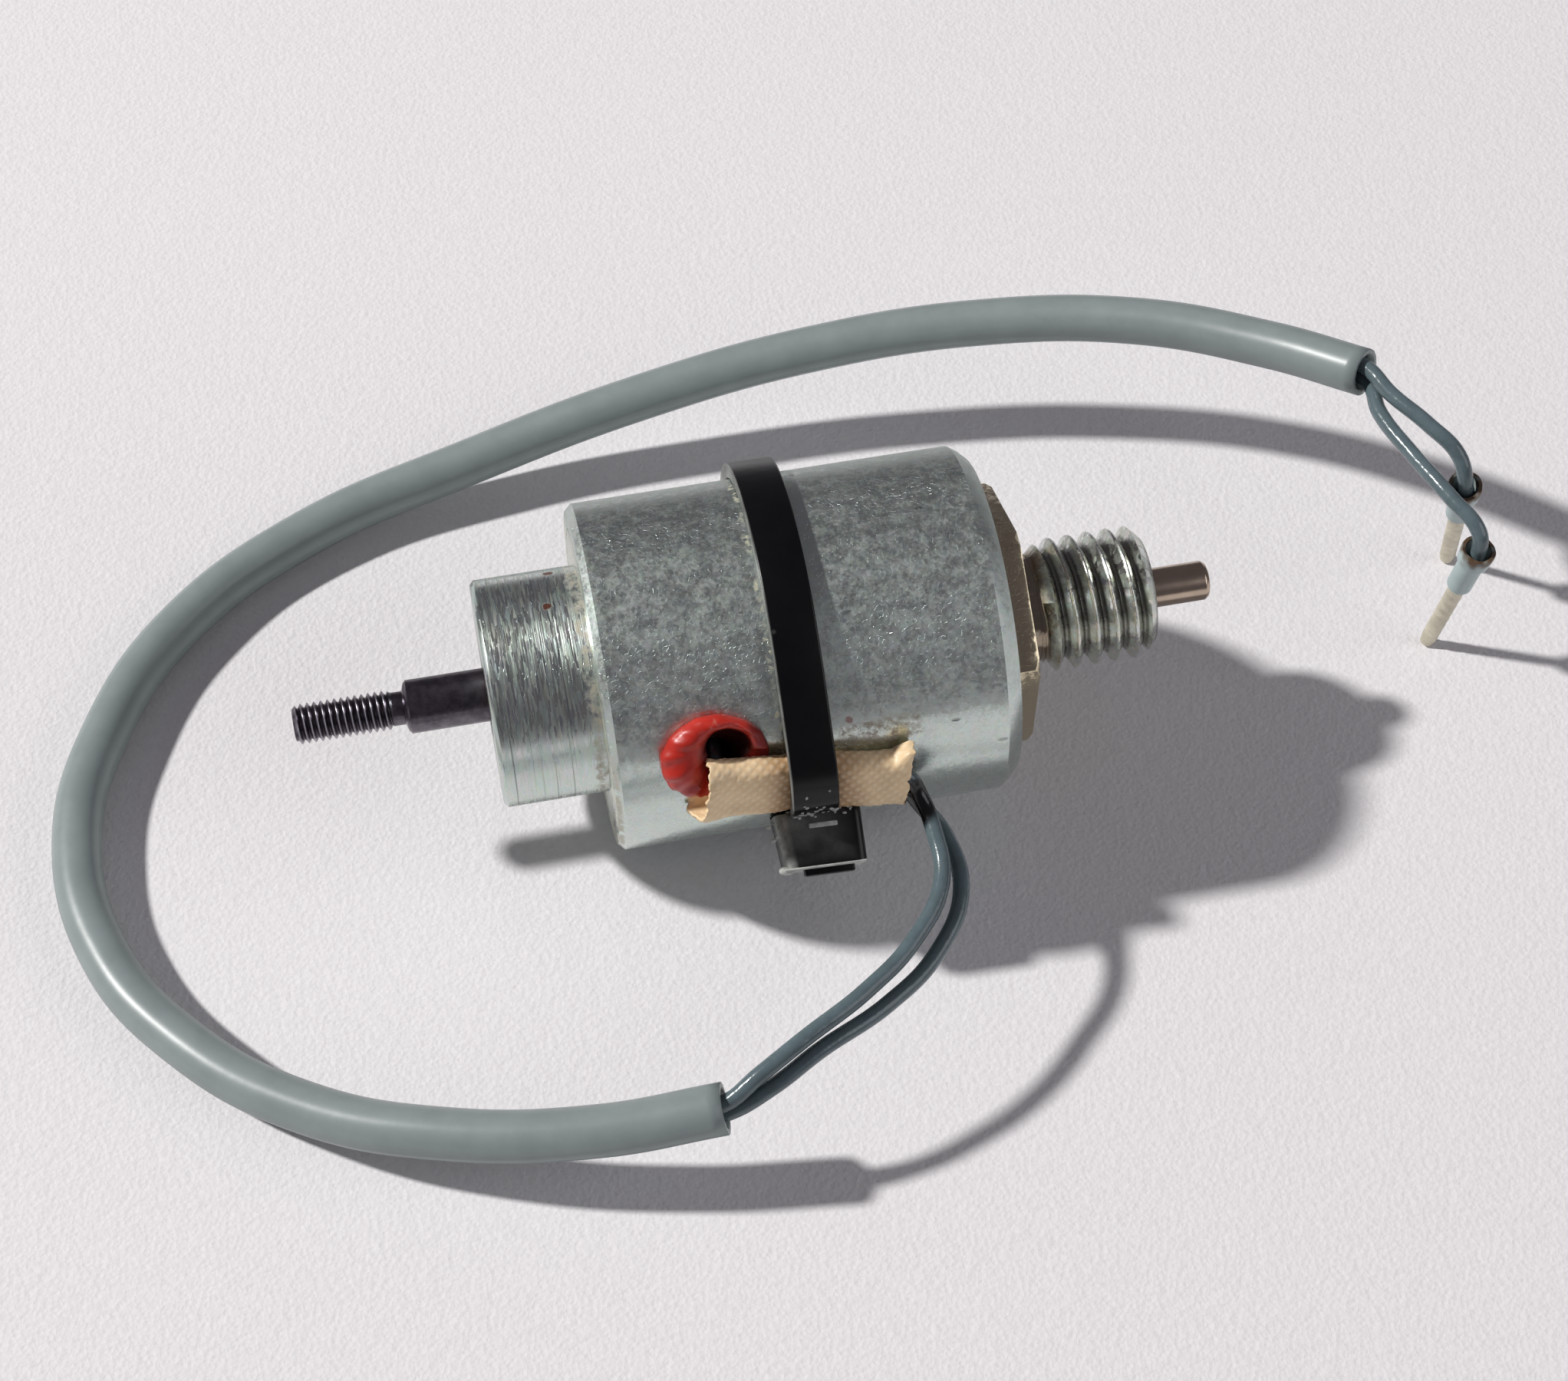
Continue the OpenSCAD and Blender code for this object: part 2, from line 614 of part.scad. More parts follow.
housing_tube();
rear_end_piece();
rod_bush();
rear_bumper();
guide_tube();
fibre_washer();
bobbin();
coil_winding();
winding_tape();
lead_splices();
front_pole();
pin_bush();
plunger();
plunger_rod();
push_pin();
residual_washer();
lead_grommet();
glass_sleeve();
cable_tie();
lead_a();
lead_b();
lead_tube();
ferrule_pin_a();
ferrule_pin_b();
ferrule_collar_a();
ferrule_collar_b();
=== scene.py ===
"""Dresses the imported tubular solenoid: its visible pieces, their finishes, the cords and the studio."""

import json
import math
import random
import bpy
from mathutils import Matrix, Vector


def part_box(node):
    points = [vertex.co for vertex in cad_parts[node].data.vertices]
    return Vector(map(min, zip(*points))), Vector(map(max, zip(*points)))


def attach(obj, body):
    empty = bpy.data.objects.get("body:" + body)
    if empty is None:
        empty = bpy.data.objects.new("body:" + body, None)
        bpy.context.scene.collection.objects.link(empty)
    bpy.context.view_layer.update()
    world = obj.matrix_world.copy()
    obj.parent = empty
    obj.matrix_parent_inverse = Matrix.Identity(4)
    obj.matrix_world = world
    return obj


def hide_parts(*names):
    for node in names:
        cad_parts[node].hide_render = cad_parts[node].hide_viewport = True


bl_info = {
    "name": "Tubular push pull solenoid",
    "version": (1, 0, 0),
    "blender": (4, 5, 0),
    "location": "View3D > Sidebar > Solenoid",
    "description": "Plated housing, threads, cable tie, sleeve, leads and ferrules for the packed solenoid",
    "category": "Object",
}

import bmesh
import bpy
from bpy.props import FloatProperty, FloatVectorProperty, PointerProperty
from mathutils import Matrix, Vector, noise
from mathutils.geometry import interpolate_bezier

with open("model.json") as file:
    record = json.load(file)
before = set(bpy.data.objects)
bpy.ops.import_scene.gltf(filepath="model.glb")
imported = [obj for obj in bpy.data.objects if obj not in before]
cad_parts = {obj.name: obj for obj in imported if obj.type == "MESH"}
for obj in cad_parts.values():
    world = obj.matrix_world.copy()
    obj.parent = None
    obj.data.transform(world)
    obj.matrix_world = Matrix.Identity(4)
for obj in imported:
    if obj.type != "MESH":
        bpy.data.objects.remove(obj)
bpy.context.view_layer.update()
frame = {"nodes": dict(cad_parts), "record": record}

MM = 0.001
FIXED = "fixed_body"
MOVING = "plunger_set"
AXIS = Vector((1, 0, 0))
ROUND = 192          # steps round a turned piece
SHARP = math.radians(32)

# Places that the solids give
HOUSING_LOW, HOUSING_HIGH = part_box("housing_tube")
HOUSING_R = HOUSING_HIGH[2]
BOSS_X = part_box("rear_end_piece")[0][0]
FLOOR_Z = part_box("cable_tie")[0][2]

# The outlet hole, the sleeve and the tie's head, round the housing from each other
HOLE_X = HOUSING_LOW[0] + 7.3 * MM
HOLE_ANGLE = math.radians(21.5)
SLEEVE_X = HOLE_X + 6.25 * MM
SLEEVE_ANGLE = HOLE_ANGLE - 2.7 * MM / HOUSING_R
SLEEVE_SLANT = math.radians(9.7)
TIE_X = HOUSING_LOW[0] + 14 * MM
HEAD_ANGLE = math.radians(-30)
HEAD_SHIFT = 5 * MM

# Middle lines of the cords, in millimetres
TUBE_ROUTE = (
    (-28.2, -34.2, -6), (-37, -33.4, -7.6), (-47.9, -30.6, -9.2), (-57.4, -25.7, -10.8),
    (-65.4, -18.4, -11.6), (-70.8, -9.2, -12.05), (-72.2, 1.3, -12.1), (-69.5, 10.9, -12.2),
    (-63, 20.5, -12.3), (-52, 27.9, -12.1), (-38, 31.6, -10.7), (-23.4, 33.4, -8),
    (-8.8, 33.7, -5.5), (5, 31.9, -3.3), (17, 27.7, -1.2), (26.3, 21.3, 0.8), (32, 15.4, 2.8),
)
NEAR_A = (
    (-10.2, -14.9, -0.4), (-9.7, -17.2, -1.4), (-9.9, -21, -2.3), (-12.8, -25.2, -2.8),
    (-17, -28.7, -2.7), (-22, -31.5, -3), (-25.5, -33.2, -3.9),
)
NEAR_B = (
    (-10, -14.9, -1.8), (-8.7, -17.2, -2.8), (-8.5, -21.3, -3.6), (-11.2, -25.7, -4.3),
    (-15.6, -29.3, -4.1), (-21, -32, -4.1), (-24.8, -33.7, -5.1),
)
FAR_A = ((33.2, 12.5, 3.2), (35.2, 9.2, 2.9), (37, 6.6, 1.8))
FAR_B = ((32.2, 11.7, 2.1), (33.4, 7.2, 2.1), (35, 2.4, 2.1), (36.4, -0.5, 1.2))

# Each ferrule stands on its pin: the tip, and a point up its axis, in millimetres
FERRULE_A = (Vector((39.3, 8.6, -14.05)), Vector((37.5, 5.3, -0.2)))
FERRULE_B = (Vector((35.1, 0.8, -14.1)), Vector((36.5, -1.1, -0.2)))
PIN_LENGTH = 8.8
COLLAR_LENGTH = 5.2
LEADS_OUT = Vector((-11, -14.9, -0.7))      # where the leads come out of the sleeve, in millimetres


def paint(red, green, blue):
    """A screen colour, 0 to 255, as the linear colour that shaders use."""
    def linear(value):
        value /= 255
        return value / 12.92 if value <= 0.04045 else ((value + 0.055) / 1.055) ** 2.4
    return (linear(red), linear(green), linear(blue), 1.0)


# ---------------------------------------------------------------- sizes and colours


class SolenoidSizes(bpy.types.PropertyGroup):
    """Sizes that a user would change."""

    strap_width: FloatProperty(
        name="Strap width", description="Width of the cable tie's strap", default=3.4 * MM, unit="LENGTH")
    strap_thickness: FloatProperty(
        name="Strap thickness", description="Thickness of the strap", default=1.2 * MM, unit="LENGTH")
    stud_pitch: FloatProperty(
        name="Stud pitch", description="Thread pitch of the nose stud", default=1.5 * MM, unit="LENGTH")
    rod_pitch: FloatProperty(
        name="Rod pitch", description="Thread pitch of the rod's end", default=0.5 * MM, unit="LENGTH")
    lead_diameter: FloatProperty(
        name="Lead diameter", description="Each lead over its insulation", default=1.25 * MM, unit="LENGTH")
    tube_diameter: FloatProperty(
        name="Tube diameter", description="Outside of the PVC tube", default=3.8 * MM, unit="LENGTH")
    tube_wall: FloatProperty(
        name="Tube wall", description="Wall of the PVC tube", default=0.4 * MM, unit="LENGTH")
    sleeve_length: FloatProperty(
        name="Sleeve length", description="Length of the woven sleeve", default=14.8 * MM, unit="LENGTH")
    sleeve_width: FloatProperty(
        name="Sleeve width", description="Width of the flattened sleeve", default=5.4 * MM, unit="LENGTH")
    sleeve_height: FloatProperty(
        name="Sleeve height", description="Height of the flattened sleeve", default=2 * MM, unit="LENGTH")


def colour_property(label, about, default):
    """A colour swatch with its own label, note and default."""
    return FloatVectorProperty(
        name=label, description=about, subtype="COLOR", size=4, min=0, max=1, default=default)


class SolenoidColours(bpy.types.PropertyGroup):
    """Colours that a user would change."""

    plate: colour_property("Zinc plate", "Plated steel of the housing", paint(210, 220, 214))
    rubber: colour_property("Grommet", "Silicone of the lead grommet", paint(196, 46, 34))
    glass_fibre: colour_property("Sleeve", "Varnished weave of the sleeve", paint(246, 216, 172))
    nylon: colour_property("Cable tie", "Nylon of the cable tie", paint(6, 7, 9))
    insulation: colour_property("Leads", "Insulation of the leads", paint(96, 112, 117))
    vinyl: colour_property("PVC tube", "Vinyl of the tube", paint(138, 149, 148))
    ferrule: colour_property("Ferrule collars", "Plastic of the ferrule collars", paint(172, 190, 190))
    floor: colour_property("Floor", "Pale paper under the solenoid", paint(236, 234, 236))


def sizes():
    return bpy.context.scene.solenoid_sizes


def colours():
    return bpy.context.scene.solenoid_colours


# ---------------------------------------------------------------- shader building


def add(tree, kind, inputs=None, **settings):
    """Adds a shader node; inputs are values, or outputs of other nodes to join."""
    node = tree.nodes.new("ShaderNode" + kind)
    for name, value in settings.items():
        setattr(node, name, value)
    for name, value in (inputs or {}).items():
        if isinstance(value, bpy.types.NodeSocket):
            tree.links.new(value, node.inputs[name])
        else:
            node.inputs[name].default_value = value
    return node


def maths(tree, operation, first, second=0.5, clamp=False):
    """The result of one math step."""
    return add(tree, "Math", {0: first, 1: second}, operation=operation, use_clamp=clamp).outputs[0]


def ramp(tree, factor, low, high):
    """0 below low, 1 above high, smooth between."""
    node = add(tree, "MapRange", {"Value": factor, "From Min": low, "From Max": high},
               interpolation_type="SMOOTHSTEP")
    return node.outputs["Result"]


def mix(tree, factor, first, second, blend="MIX"):
    """Mixes two colours by a factor."""
    node = add(tree, "Mix", data_type="RGBA", blend_type=blend)
    for socket, value in zip((node.inputs[0], node.inputs[6], node.inputs[7]), (factor, first, second)):
        if isinstance(value, bpy.types.NodeSocket):
            tree.links.new(value, socket)
        else:
            socket.default_value = value
    return node.outputs[2]


def effect(name, inputs, outputs, build):
    """A shader group with named inputs and outputs, built once and used by several finishes."""
    if name in bpy.data.node_groups:
        return bpy.data.node_groups[name]
    tree = bpy.data.node_groups.new(name, "ShaderNodeTree")
    for label, kind, value in inputs:
        socket = tree.interface.new_socket(label, in_out="INPUT", socket_type=kind)
        if value is not None:
            socket.default_value = value
    for label, kind in outputs:
        tree.interface.new_socket(label, in_out="OUTPUT", socket_type=kind)
    entry = tree.nodes.new("NodeGroupInput")
    leaving = tree.nodes.new("NodeGroupOutput")
    for label, socket in build(tree, entry.outputs).items():
        tree.links.new(socket, leaving.inputs[label])
    return tree


def use(tree, group_tree, inputs):
    """Places a shader group in a finish with its own values."""
    node = tree.nodes.new("ShaderNodeGroup")
    node.node_tree = group_tree
    for name, value in inputs.items():
        if isinstance(value, bpy.types.NodeSocket):
            tree.links.new(value, node.inputs[name])
        else:
            node.inputs[name].default_value = value
    return node.outputs


VALUE = "NodeSocketFloat"
VECTOR = "NodeSocketVector"


def grain_group():
    """Fine mottling: a mask of small blotches and a height for bump."""
    def build(tree, given):
        blotch = add(tree, "TexNoise", {
            "Vector": given["Vector"], "Scale": given["Scale"], "Detail": 4.0, "Roughness": 0.65})
        cells = add(tree, "TexVoronoi", {"Vector": given["Vector"], "Scale": given["Cell Scale"]},
                    feature="F1")
        height = maths(tree, "MULTIPLY_ADD", cells.outputs["Distance"], 0.6)
        tree.links.new(blotch.outputs["Fac"], height.node.inputs[2])
        return {"Mask": ramp(tree, blotch.outputs["Fac"], 0.32, 0.68), "Height": height}
    return effect(
        "Grain", (("Vector", VECTOR, None), ("Scale", VALUE, 900.0), ("Cell Scale", VALUE, 2500.0)),
        (("Mask", VALUE), ("Height", VALUE)), build)


def crystal_group():
    """Crystals of plating: for each a colour, a random share, and a face with its own tilt."""
    def build(tree, given):
        wander = add(tree, "TexNoise", {"Vector": given["Vector"], "Scale": given["Scale"], "Detail": 1.0})
        bent = add(tree, "VectorMath", {
            0: wander.outputs["Color"], 1: (0.0003, 0.0003, 0.0003), 2: given["Vector"]},
            operation="MULTIPLY_ADD").outputs[0]
        cells = add(tree, "TexVoronoi", {"Vector": bent, "Scale": given["Scale"]}, feature="F1")
        away = add(tree, "VectorMath", {0: bent, 1: cells.outputs["Position"]}, operation="SUBTRACT")
        lean = add(tree, "VectorMath", {0: cells.outputs["Color"], 1: (0.5, 0.5, 0.5)}, operation="SUBTRACT")
        tilt = add(tree, "VectorMath", {0: away.outputs[0], 1: lean.outputs[0]}, operation="DOT_PRODUCT")
        share = add(tree, "SeparateColor", {"Color": cells.outputs["Color"]}).outputs["Green"]
        return {"Colour": cells.outputs["Color"], "Share": share,
                "Height": maths(tree, "MULTIPLY", tilt.outputs["Value"], given["Tilt"])}
    return effect(
        "Crystals", (("Vector", VECTOR, None), ("Scale", VALUE, 2800.0), ("Tilt", VALUE, 0.5)),
        (("Colour", "NodeSocketColor"), ("Share", VALUE), ("Height", VALUE)), build)


def film_group():
    """Faint colours of the passivation film over a base colour."""
    def build(tree, given):
        drift = add(tree, "TexNoise", {"Vector": given["Vector"], "Scale": given["Scale"], "Detail": 2.0})
        pastel = mix(tree, 0.75, drift.outputs["Color"], (1.0, 1.0, 1.0, 1.0))
        return {"Colour": mix(tree, given["Amount"], given["Base"], pastel, "MULTIPLY")}
    return effect(
        "Film", (("Vector", VECTOR, None), ("Base", "NodeSocketColor", None), ("Scale", VALUE, 300.0),
                 ("Amount", VALUE, 0.5)),
        (("Colour", "NodeSocketColor"),), build)


def dash_group():
    """Sparse short dents and hairlines, long across the vector's second direction."""
    def build(tree, given):
        cells = add(tree, "TexVoronoi", {"Vector": given["Vector"], "Scale": given["Scale"]}, feature="F1")
        share = add(tree, "SeparateColor", {"Color": cells.outputs["Color"]}).outputs["Red"]
        dent = ramp(tree, cells.outputs["Distance"], 0.16, 0.06)
        return {"Mask": maths(tree, "MULTIPLY", dent, ramp(tree, share, given["Rarity"], 0.95))}
    return effect(
        "Dents", (("Vector", VECTOR, None), ("Scale", VALUE, 400.0), ("Rarity", VALUE, 0.6)),
        (("Mask", VALUE),), build)


def scratch_group():
    """Sparse fine lines, stretched along the vector's first direction."""
    def build(tree, given):
        wobble = add(tree, "TexNoise", {"Vector": given["Vector"], "Scale": given["Scale"], "Detail": 2.0})
        lines = add(tree, "TexNoise", {
            "Vector": given["Stretched"], "Scale": given["Scale"], "Detail": 3.0, "Roughness": 0.7})
        sharp = ramp(tree, lines.outputs["Fac"], 0.62, 0.70)
        patchy = ramp(tree, wobble.outputs["Fac"], 0.45, 0.65)
        return {"Mask": maths(tree, "MULTIPLY", sharp, patchy)}
    return effect(
        "Scratches", (("Vector", VECTOR, None), ("Stretched", VECTOR, None), ("Scale", VALUE, 300.0)),
        (("Mask", VALUE),), build)


def grime_group():
    """Cloudy dirt: a soft mask with broken edges."""
    def build(tree, given):
        cloud = add(tree, "TexNoise", {
            "Vector": given["Vector"], "Scale": given["Scale"], "Detail": 6.0, "Roughness": 0.7})
        spread = maths(tree, "ADD", cloud.outputs["Fac"], given["Amount"])
        return {"Mask": ramp(tree, spread, 0.62, 0.95)}
    return effect(
        "Grime", (("Vector", VECTOR, None), ("Scale", VALUE, 250.0), ("Amount", VALUE, 0.2)),
        (("Mask", VALUE),), build)


def finish_tree(name, roughness=0.5, metallic=0.0, **constants):
    """A new finish with its Principled shader; constants are set on the shader's own sockets."""
    material = bpy.data.materials.new(name)
    material.use_nodes = True
    tree = material.node_tree
    shader = tree.nodes["Principled BSDF"]
    shader.inputs["Roughness"].default_value = roughness
    shader.inputs["Metallic"].default_value = metallic
    for label, value in constants.items():
        shader.inputs[label.replace("_", " ").title().replace("Ior", "IOR")].default_value = value
    place = add(tree, "TexCoord").outputs["Object"]
    return material, tree, shader, place


def bump(tree, shader, height, distance, strength=1.0):
    """Raises the surface by a height, at most the distance in metres."""
    node = add(tree, "Bump", {"Height": height, "Distance": distance, "Strength": strength})
    tree.links.new(node.outputs["Normal"], shader.inputs["Normal"])


def stretched(tree, place, scale):
    """The place, scaled by its own factor along each axis."""
    return add(tree, "Mapping", {"Vector": place, "Scale": scale}).outputs["Vector"]


def split(tree, place):
    """The three values of a place."""
    return add(tree, "SeparateXYZ", {"Vector": place}).outputs


def band(tree, value, low, high, blur):
    """1 where a value is from low to high, 0 outside, with blurred ends."""
    return maths(tree, "MULTIPLY", ramp(tree, value, low - blur, low + blur),
                 ramp(tree, value, high + blur, high - blur))


def wobbled(tree, place, value, size, scale):
    """A value moved to and fro by noise, at most by half the size."""
    cloud = add(tree, "TexNoise", {"Vector": place, "Scale": scale, "Detail": 3.0})
    moved = maths(tree, "MULTIPLY_ADD", cloud.outputs["Fac"], size)
    tree.links.new(maths(tree, "SUBTRACT", value, size / 2), moved.node.inputs[2])
    return moved


def from_axis(tree, place):
    """Distance of a place from the solenoid's axis."""
    flat = add(tree, "VectorMath", {0: place, 1: (0.0, 1.0, 1.0)}, operation="MULTIPLY")
    return add(tree, "VectorMath", {0: flat.outputs[0]}, operation="LENGTH").outputs["Value"]


def spot(tree, place, x, radius, angle, size):
    """A soft round spot, in millimetres, on a turned surface."""
    turn = math.radians(angle)
    centre = (x * MM, -radius * math.cos(turn) * MM, radius * math.sin(turn) * MM)
    away = add(tree, "VectorMath", {0: place, 1: centre}, operation="DISTANCE").outputs["Value"]
    return ramp(tree, wobbled(tree, place, away, size * MM, 2400.0), size * MM, 0.6 * size * MM)


def scaled(colour, share):
    return tuple(value * share for value in colour[:3]) + (1.0,)


def wear_and_painted_light_mask(tree):
    """The marks that a mesh carries at its vertices: tearing, scorch, weave, and painted highlights, sheen and shade.
    """
    return add(tree, "Attribute", attribute_name="wear_and_painted_light").outputs["Fac"]


def set_rough(tree, shader, share, low, high):
    """Roughness from low to high by a share."""
    rough = maths(tree, "MULTIPLY_ADD", share, high - low)
    rough.node.inputs[2].default_value = low
    tree.links.new(rough, shader.inputs["Roughness"])


# ---------------------------------------------------------------- finishes


def plated_steel():
    """Zinc plate on the housing: crystals, dents, lint beside the strap and a scuffed patch."""
    material, tree, shader, place = finish_tree("plated_steel", 0.3, 1.0)
    plate = tuple(colours().plate)
    x, y, z = split(tree, place)
    crystal = use(tree, crystal_group(), {"Vector": place, "Scale": 2600.0, "Tilt": 0.03})
    fleck = use(tree, crystal_group(), {"Vector": place, "Scale": 4700.0, "Tilt": 0.0})
    broad = use(tree, grain_group(), {"Vector": place, "Scale": 420.0, "Cell Scale": 1500.0})
    cloud = use(tree, grain_group(), {"Vector": place, "Scale": 900.0, "Cell Scale": 2400.0})
    dents = use(tree, dash_group(), {
        "Vector": stretched(tree, place, (0.55, 1.3, 1.3)), "Scale": 520.0, "Rarity": 0.78})
    tone = mix(tree, 0.07, plate, crystal["Colour"], "OVERLAY")
    tone = use(tree, film_group(), {"Vector": place, "Base": tone, "Scale": 350.0, "Amount": 0.15})["Colour"]
    tone = mix(tree, maths(tree, "MULTIPLY", fleck["Share"], 0.1), tone, scaled(plate, 0.45))
    tone = mix(tree, maths(tree, "MULTIPLY", broad["Mask"], 0.15), tone, scaled(plate, 0.8))
    tone = mix(tree, maths(tree, "MULTIPLY", dents["Mask"], 0.5), tone, paint(96, 98, 98))

    lint_x = wobbled(tree, place, x, 0.7 * MM, 1300.0)
    lint = band(tree, lint_x, TIE_X - 2.1 * MM, TIE_X - 1.7 * MM, 0.12 * MM)
    lint = maths(tree, "MULTIPLY", lint, ramp(tree, crystal["Share"], 0.3, 0.8))
    lint = maths(tree, "MULTIPLY", lint, ramp(tree, broad["Mask"], 0.2, 0.7))
    dirt = maths(tree, "MULTIPLY", ramp(tree, x, -31.5 * MM, -31.8 * MM), ramp(tree, z, 8 * MM, 3 * MM))
    dirt = maths(tree, "MULTIPLY", dirt, ramp(tree, cloud["Mask"], 0.2, 0.6))
    scuff = maths(tree, "MULTIPLY", band(tree, x, -15.6 * MM, -9.6 * MM, 0.4 * MM),
                  band(tree, z, 3.9 * MM, 5.7 * MM, 0.3 * MM))
    scuff = maths(tree, "MULTIPLY", scuff, ramp(tree, y, -9 * MM, -10 * MM))
    flecks = use(tree, grime_group(), {"Vector": place, "Scale": 1900.0, "Amount": 0.24})
    scuff = maths(tree, "MULTIPLY", scuff, flecks["Mask"])
    tone = mix(tree, maths(tree, "MULTIPLY", lint, 0.8), tone, paint(206, 200, 172))
    tone = mix(tree, maths(tree, "MULTIPLY", scuff, 0.85), tone, paint(150, 134, 114))
    tone = mix(tree, maths(tree, "MULTIPLY", dirt, 0.55), tone, paint(168, 152, 130))
    pink = spot(tree, place, -14.8, 13, 27, 0.35)
    tone = mix(tree, maths(tree, "MULTIPLY", pink, 0.7), tone, paint(150, 96, 90))
    tree.links.new(tone, shader.inputs["Base Color"])

    soft = maths(tree, "MAXIMUM", maths(tree, "MAXIMUM", lint, scuff), maths(tree, "MAXIMUM", pink, dirt))
    tree.links.new(maths(tree, "SUBTRACT", 1.0, maths(tree, "MULTIPLY", soft, 0.8)),
                   shader.inputs["Metallic"])
    matt = maths(tree, "MULTIPLY_ADD", cloud["Mask"], 0.35)
    flecked = maths(tree, "MULTIPLY_ADD", fleck["Share"], 0.35)
    flecked.node.inputs[2].default_value = 0.3
    tree.links.new(flecked, matt.node.inputs[2])
    rubbed = maths(tree, "MULTIPLY", ramp(tree, z, 6.2 * MM, 5.0 * MM), 0.65)
    matt = maths(tree, "MULTIPLY", matt, maths(tree, "SUBTRACT", 1.0, rubbed))
    set_rough(tree, shader, maths(tree, "MAXIMUM", matt, soft), 0.16, 0.56)
    height = maths(tree, "SUBTRACT", crystal["Height"], maths(tree, "MULTIPLY", dents["Mask"], 0.02 * MM))
    bump(tree, shader, height, 1.0)
    return material


def turned_steel():
    """Plated steel with turning lines round the axis, rust spots and lint at the housing."""
    material, tree, shader, place = finish_tree("turned_steel", 0.3, 1.0)
    plate = tuple(colours().plate)
    x = split(tree, place)[0]
    lines = add(tree, "TexNoise", {
        "Vector": stretched(tree, place, (26.0, 0.12, 0.12)), "Scale": 300.0, "Detail": 2.0, "Roughness": 0.6})
    crystal = use(tree, crystal_group(), {
        "Vector": stretched(tree, place, (2.6, 0.35, 0.35)), "Scale": 2600.0, "Tilt": 0.015})
    tone = mix(tree, 0.1, plate, crystal["Colour"], "OVERLAY")
    tone = use(tree, film_group(), {"Vector": place, "Base": tone, "Scale": 450.0, "Amount": 0.45})["Colour"]
    tone = mix(tree, ramp(tree, lines.outputs["Fac"], 0.42, 0.3), tone, scaled(plate, 0.45))
    lint_x = wobbled(tree, place, x, 1.2 * MM, 1500.0)
    lint = band(tree, lint_x, -32.8 * MM, -31.8 * MM, 0.2 * MM)
    patches = use(tree, grime_group(), {"Vector": place, "Scale": 1300.0, "Amount": 0.26})
    lint = maths(tree, "MULTIPLY", lint, patches["Mask"])
    tone = mix(tree, maths(tree, "MULTIPLY", lint, 0.8), tone, paint(170, 155, 130))
    rust = maths(tree, "MAXIMUM", spot(tree, place, -34, 8.5, 125, 0.5), spot(tree, place, -34.6, 8.5, 95, 0.42))
    tone = mix(tree, rust, tone, paint(84, 48, 36))
    tree.links.new(tone, shader.inputs["Base Color"])
    dull = maths(tree, "MAXIMUM", lint, rust)
    tree.links.new(maths(tree, "SUBTRACT", 1.0, maths(tree, "MULTIPLY", dull, 0.85)),
                   shader.inputs["Metallic"])
    set_rough(tree, shader, maths(tree, "MAXIMUM", crystal["Share"], dull), 0.2, 0.4)
    height = maths(tree, "MULTIPLY_ADD", lines.outputs["Fac"], 0.022 * MM)
    tree.links.new(crystal["Height"], height.node.inputs[2])
    bump(tree, shader, height, 1.0)
    return material


def thread_steel():
    """Plated nose: oily brown hex, thread roots darkened with painted shade, pale rubbed crests."""
    material, tree, shader, place = finish_tree("thread_steel", 0.3, 1.0)
    radius = from_axis(tree, place)
    x = split(tree, place)[0]
    grime = use(tree, grime_group(), {"Vector": place, "Scale": 500.0, "Amount": 0.1})
    crystal = use(tree, crystal_group(), {"Vector": place, "Scale": 2300.0, "Tilt": 0.08})
    # Painted shade: the thread roots are darkened to brown grey.
    root_shade = band(tree, wobbled(tree, place, radius, 0.2 * MM, 900.0), 2.9 * MM, 4.3 * MM, 0.15 * MM)
    tone = mix(tree, 0.12, paint(216, 220, 212), crystal["Colour"], "OVERLAY")
    hexed = ramp(tree, radius, 6 * MM, 7 * MM)
    tone = mix(tree, hexed, tone, paint(208, 196, 168))
    tone = mix(tree, maths(tree, "MULTIPLY", root_shade, 0.7), tone, paint(84, 78, 68))
    neck = band(tree, x, 0.1 * MM, 2.2 * MM, 0.2 * MM)
    tone = mix(tree, maths(tree, "MULTIPLY", neck, 0.35), tone, paint(176, 146, 112))
    tone = mix(tree, maths(tree, "MULTIPLY", grime["Mask"], 0.5), tone, paint(110, 90, 66))
    tree.links.new(tone, shader.inputs["Base Color"])
    dull = maths(tree, "MULTIPLY", crystal["Share"], maths(tree, "SUBTRACT", 1.0, maths(tree, "MAXIMUM", neck, hexed)))
    set_rough(tree, shader, dull, 0.17, 0.4)
    bump(tree, shader, crystal["Height"], 1.0)
    return material


def black_oxide():
    """Blackened rod with a purple tinge, its thread crests rubbed bright."""
    material, tree, shader, place = finish_tree("black_oxide", 0.3, 1.0)
    grain = use(tree, grain_group(), {"Vector": place, "Scale": 1100.0, "Cell Scale": 2600.0})
    crest = band(tree, from_axis(tree, place), 1.4 * MM, 1.6 * MM, 0.05 * MM)
    tone = mix(tree, grain["Mask"], paint(116, 110, 118), paint(88, 83, 91))
    tone = mix(tree, maths(tree, "MULTIPLY", crest, 0.8), tone, paint(168, 164, 172))
    tree.links.new(tone, shader.inputs["Base Color"])
    bump(tree, shader, grain["Height"], 0.01 * MM)
    return material


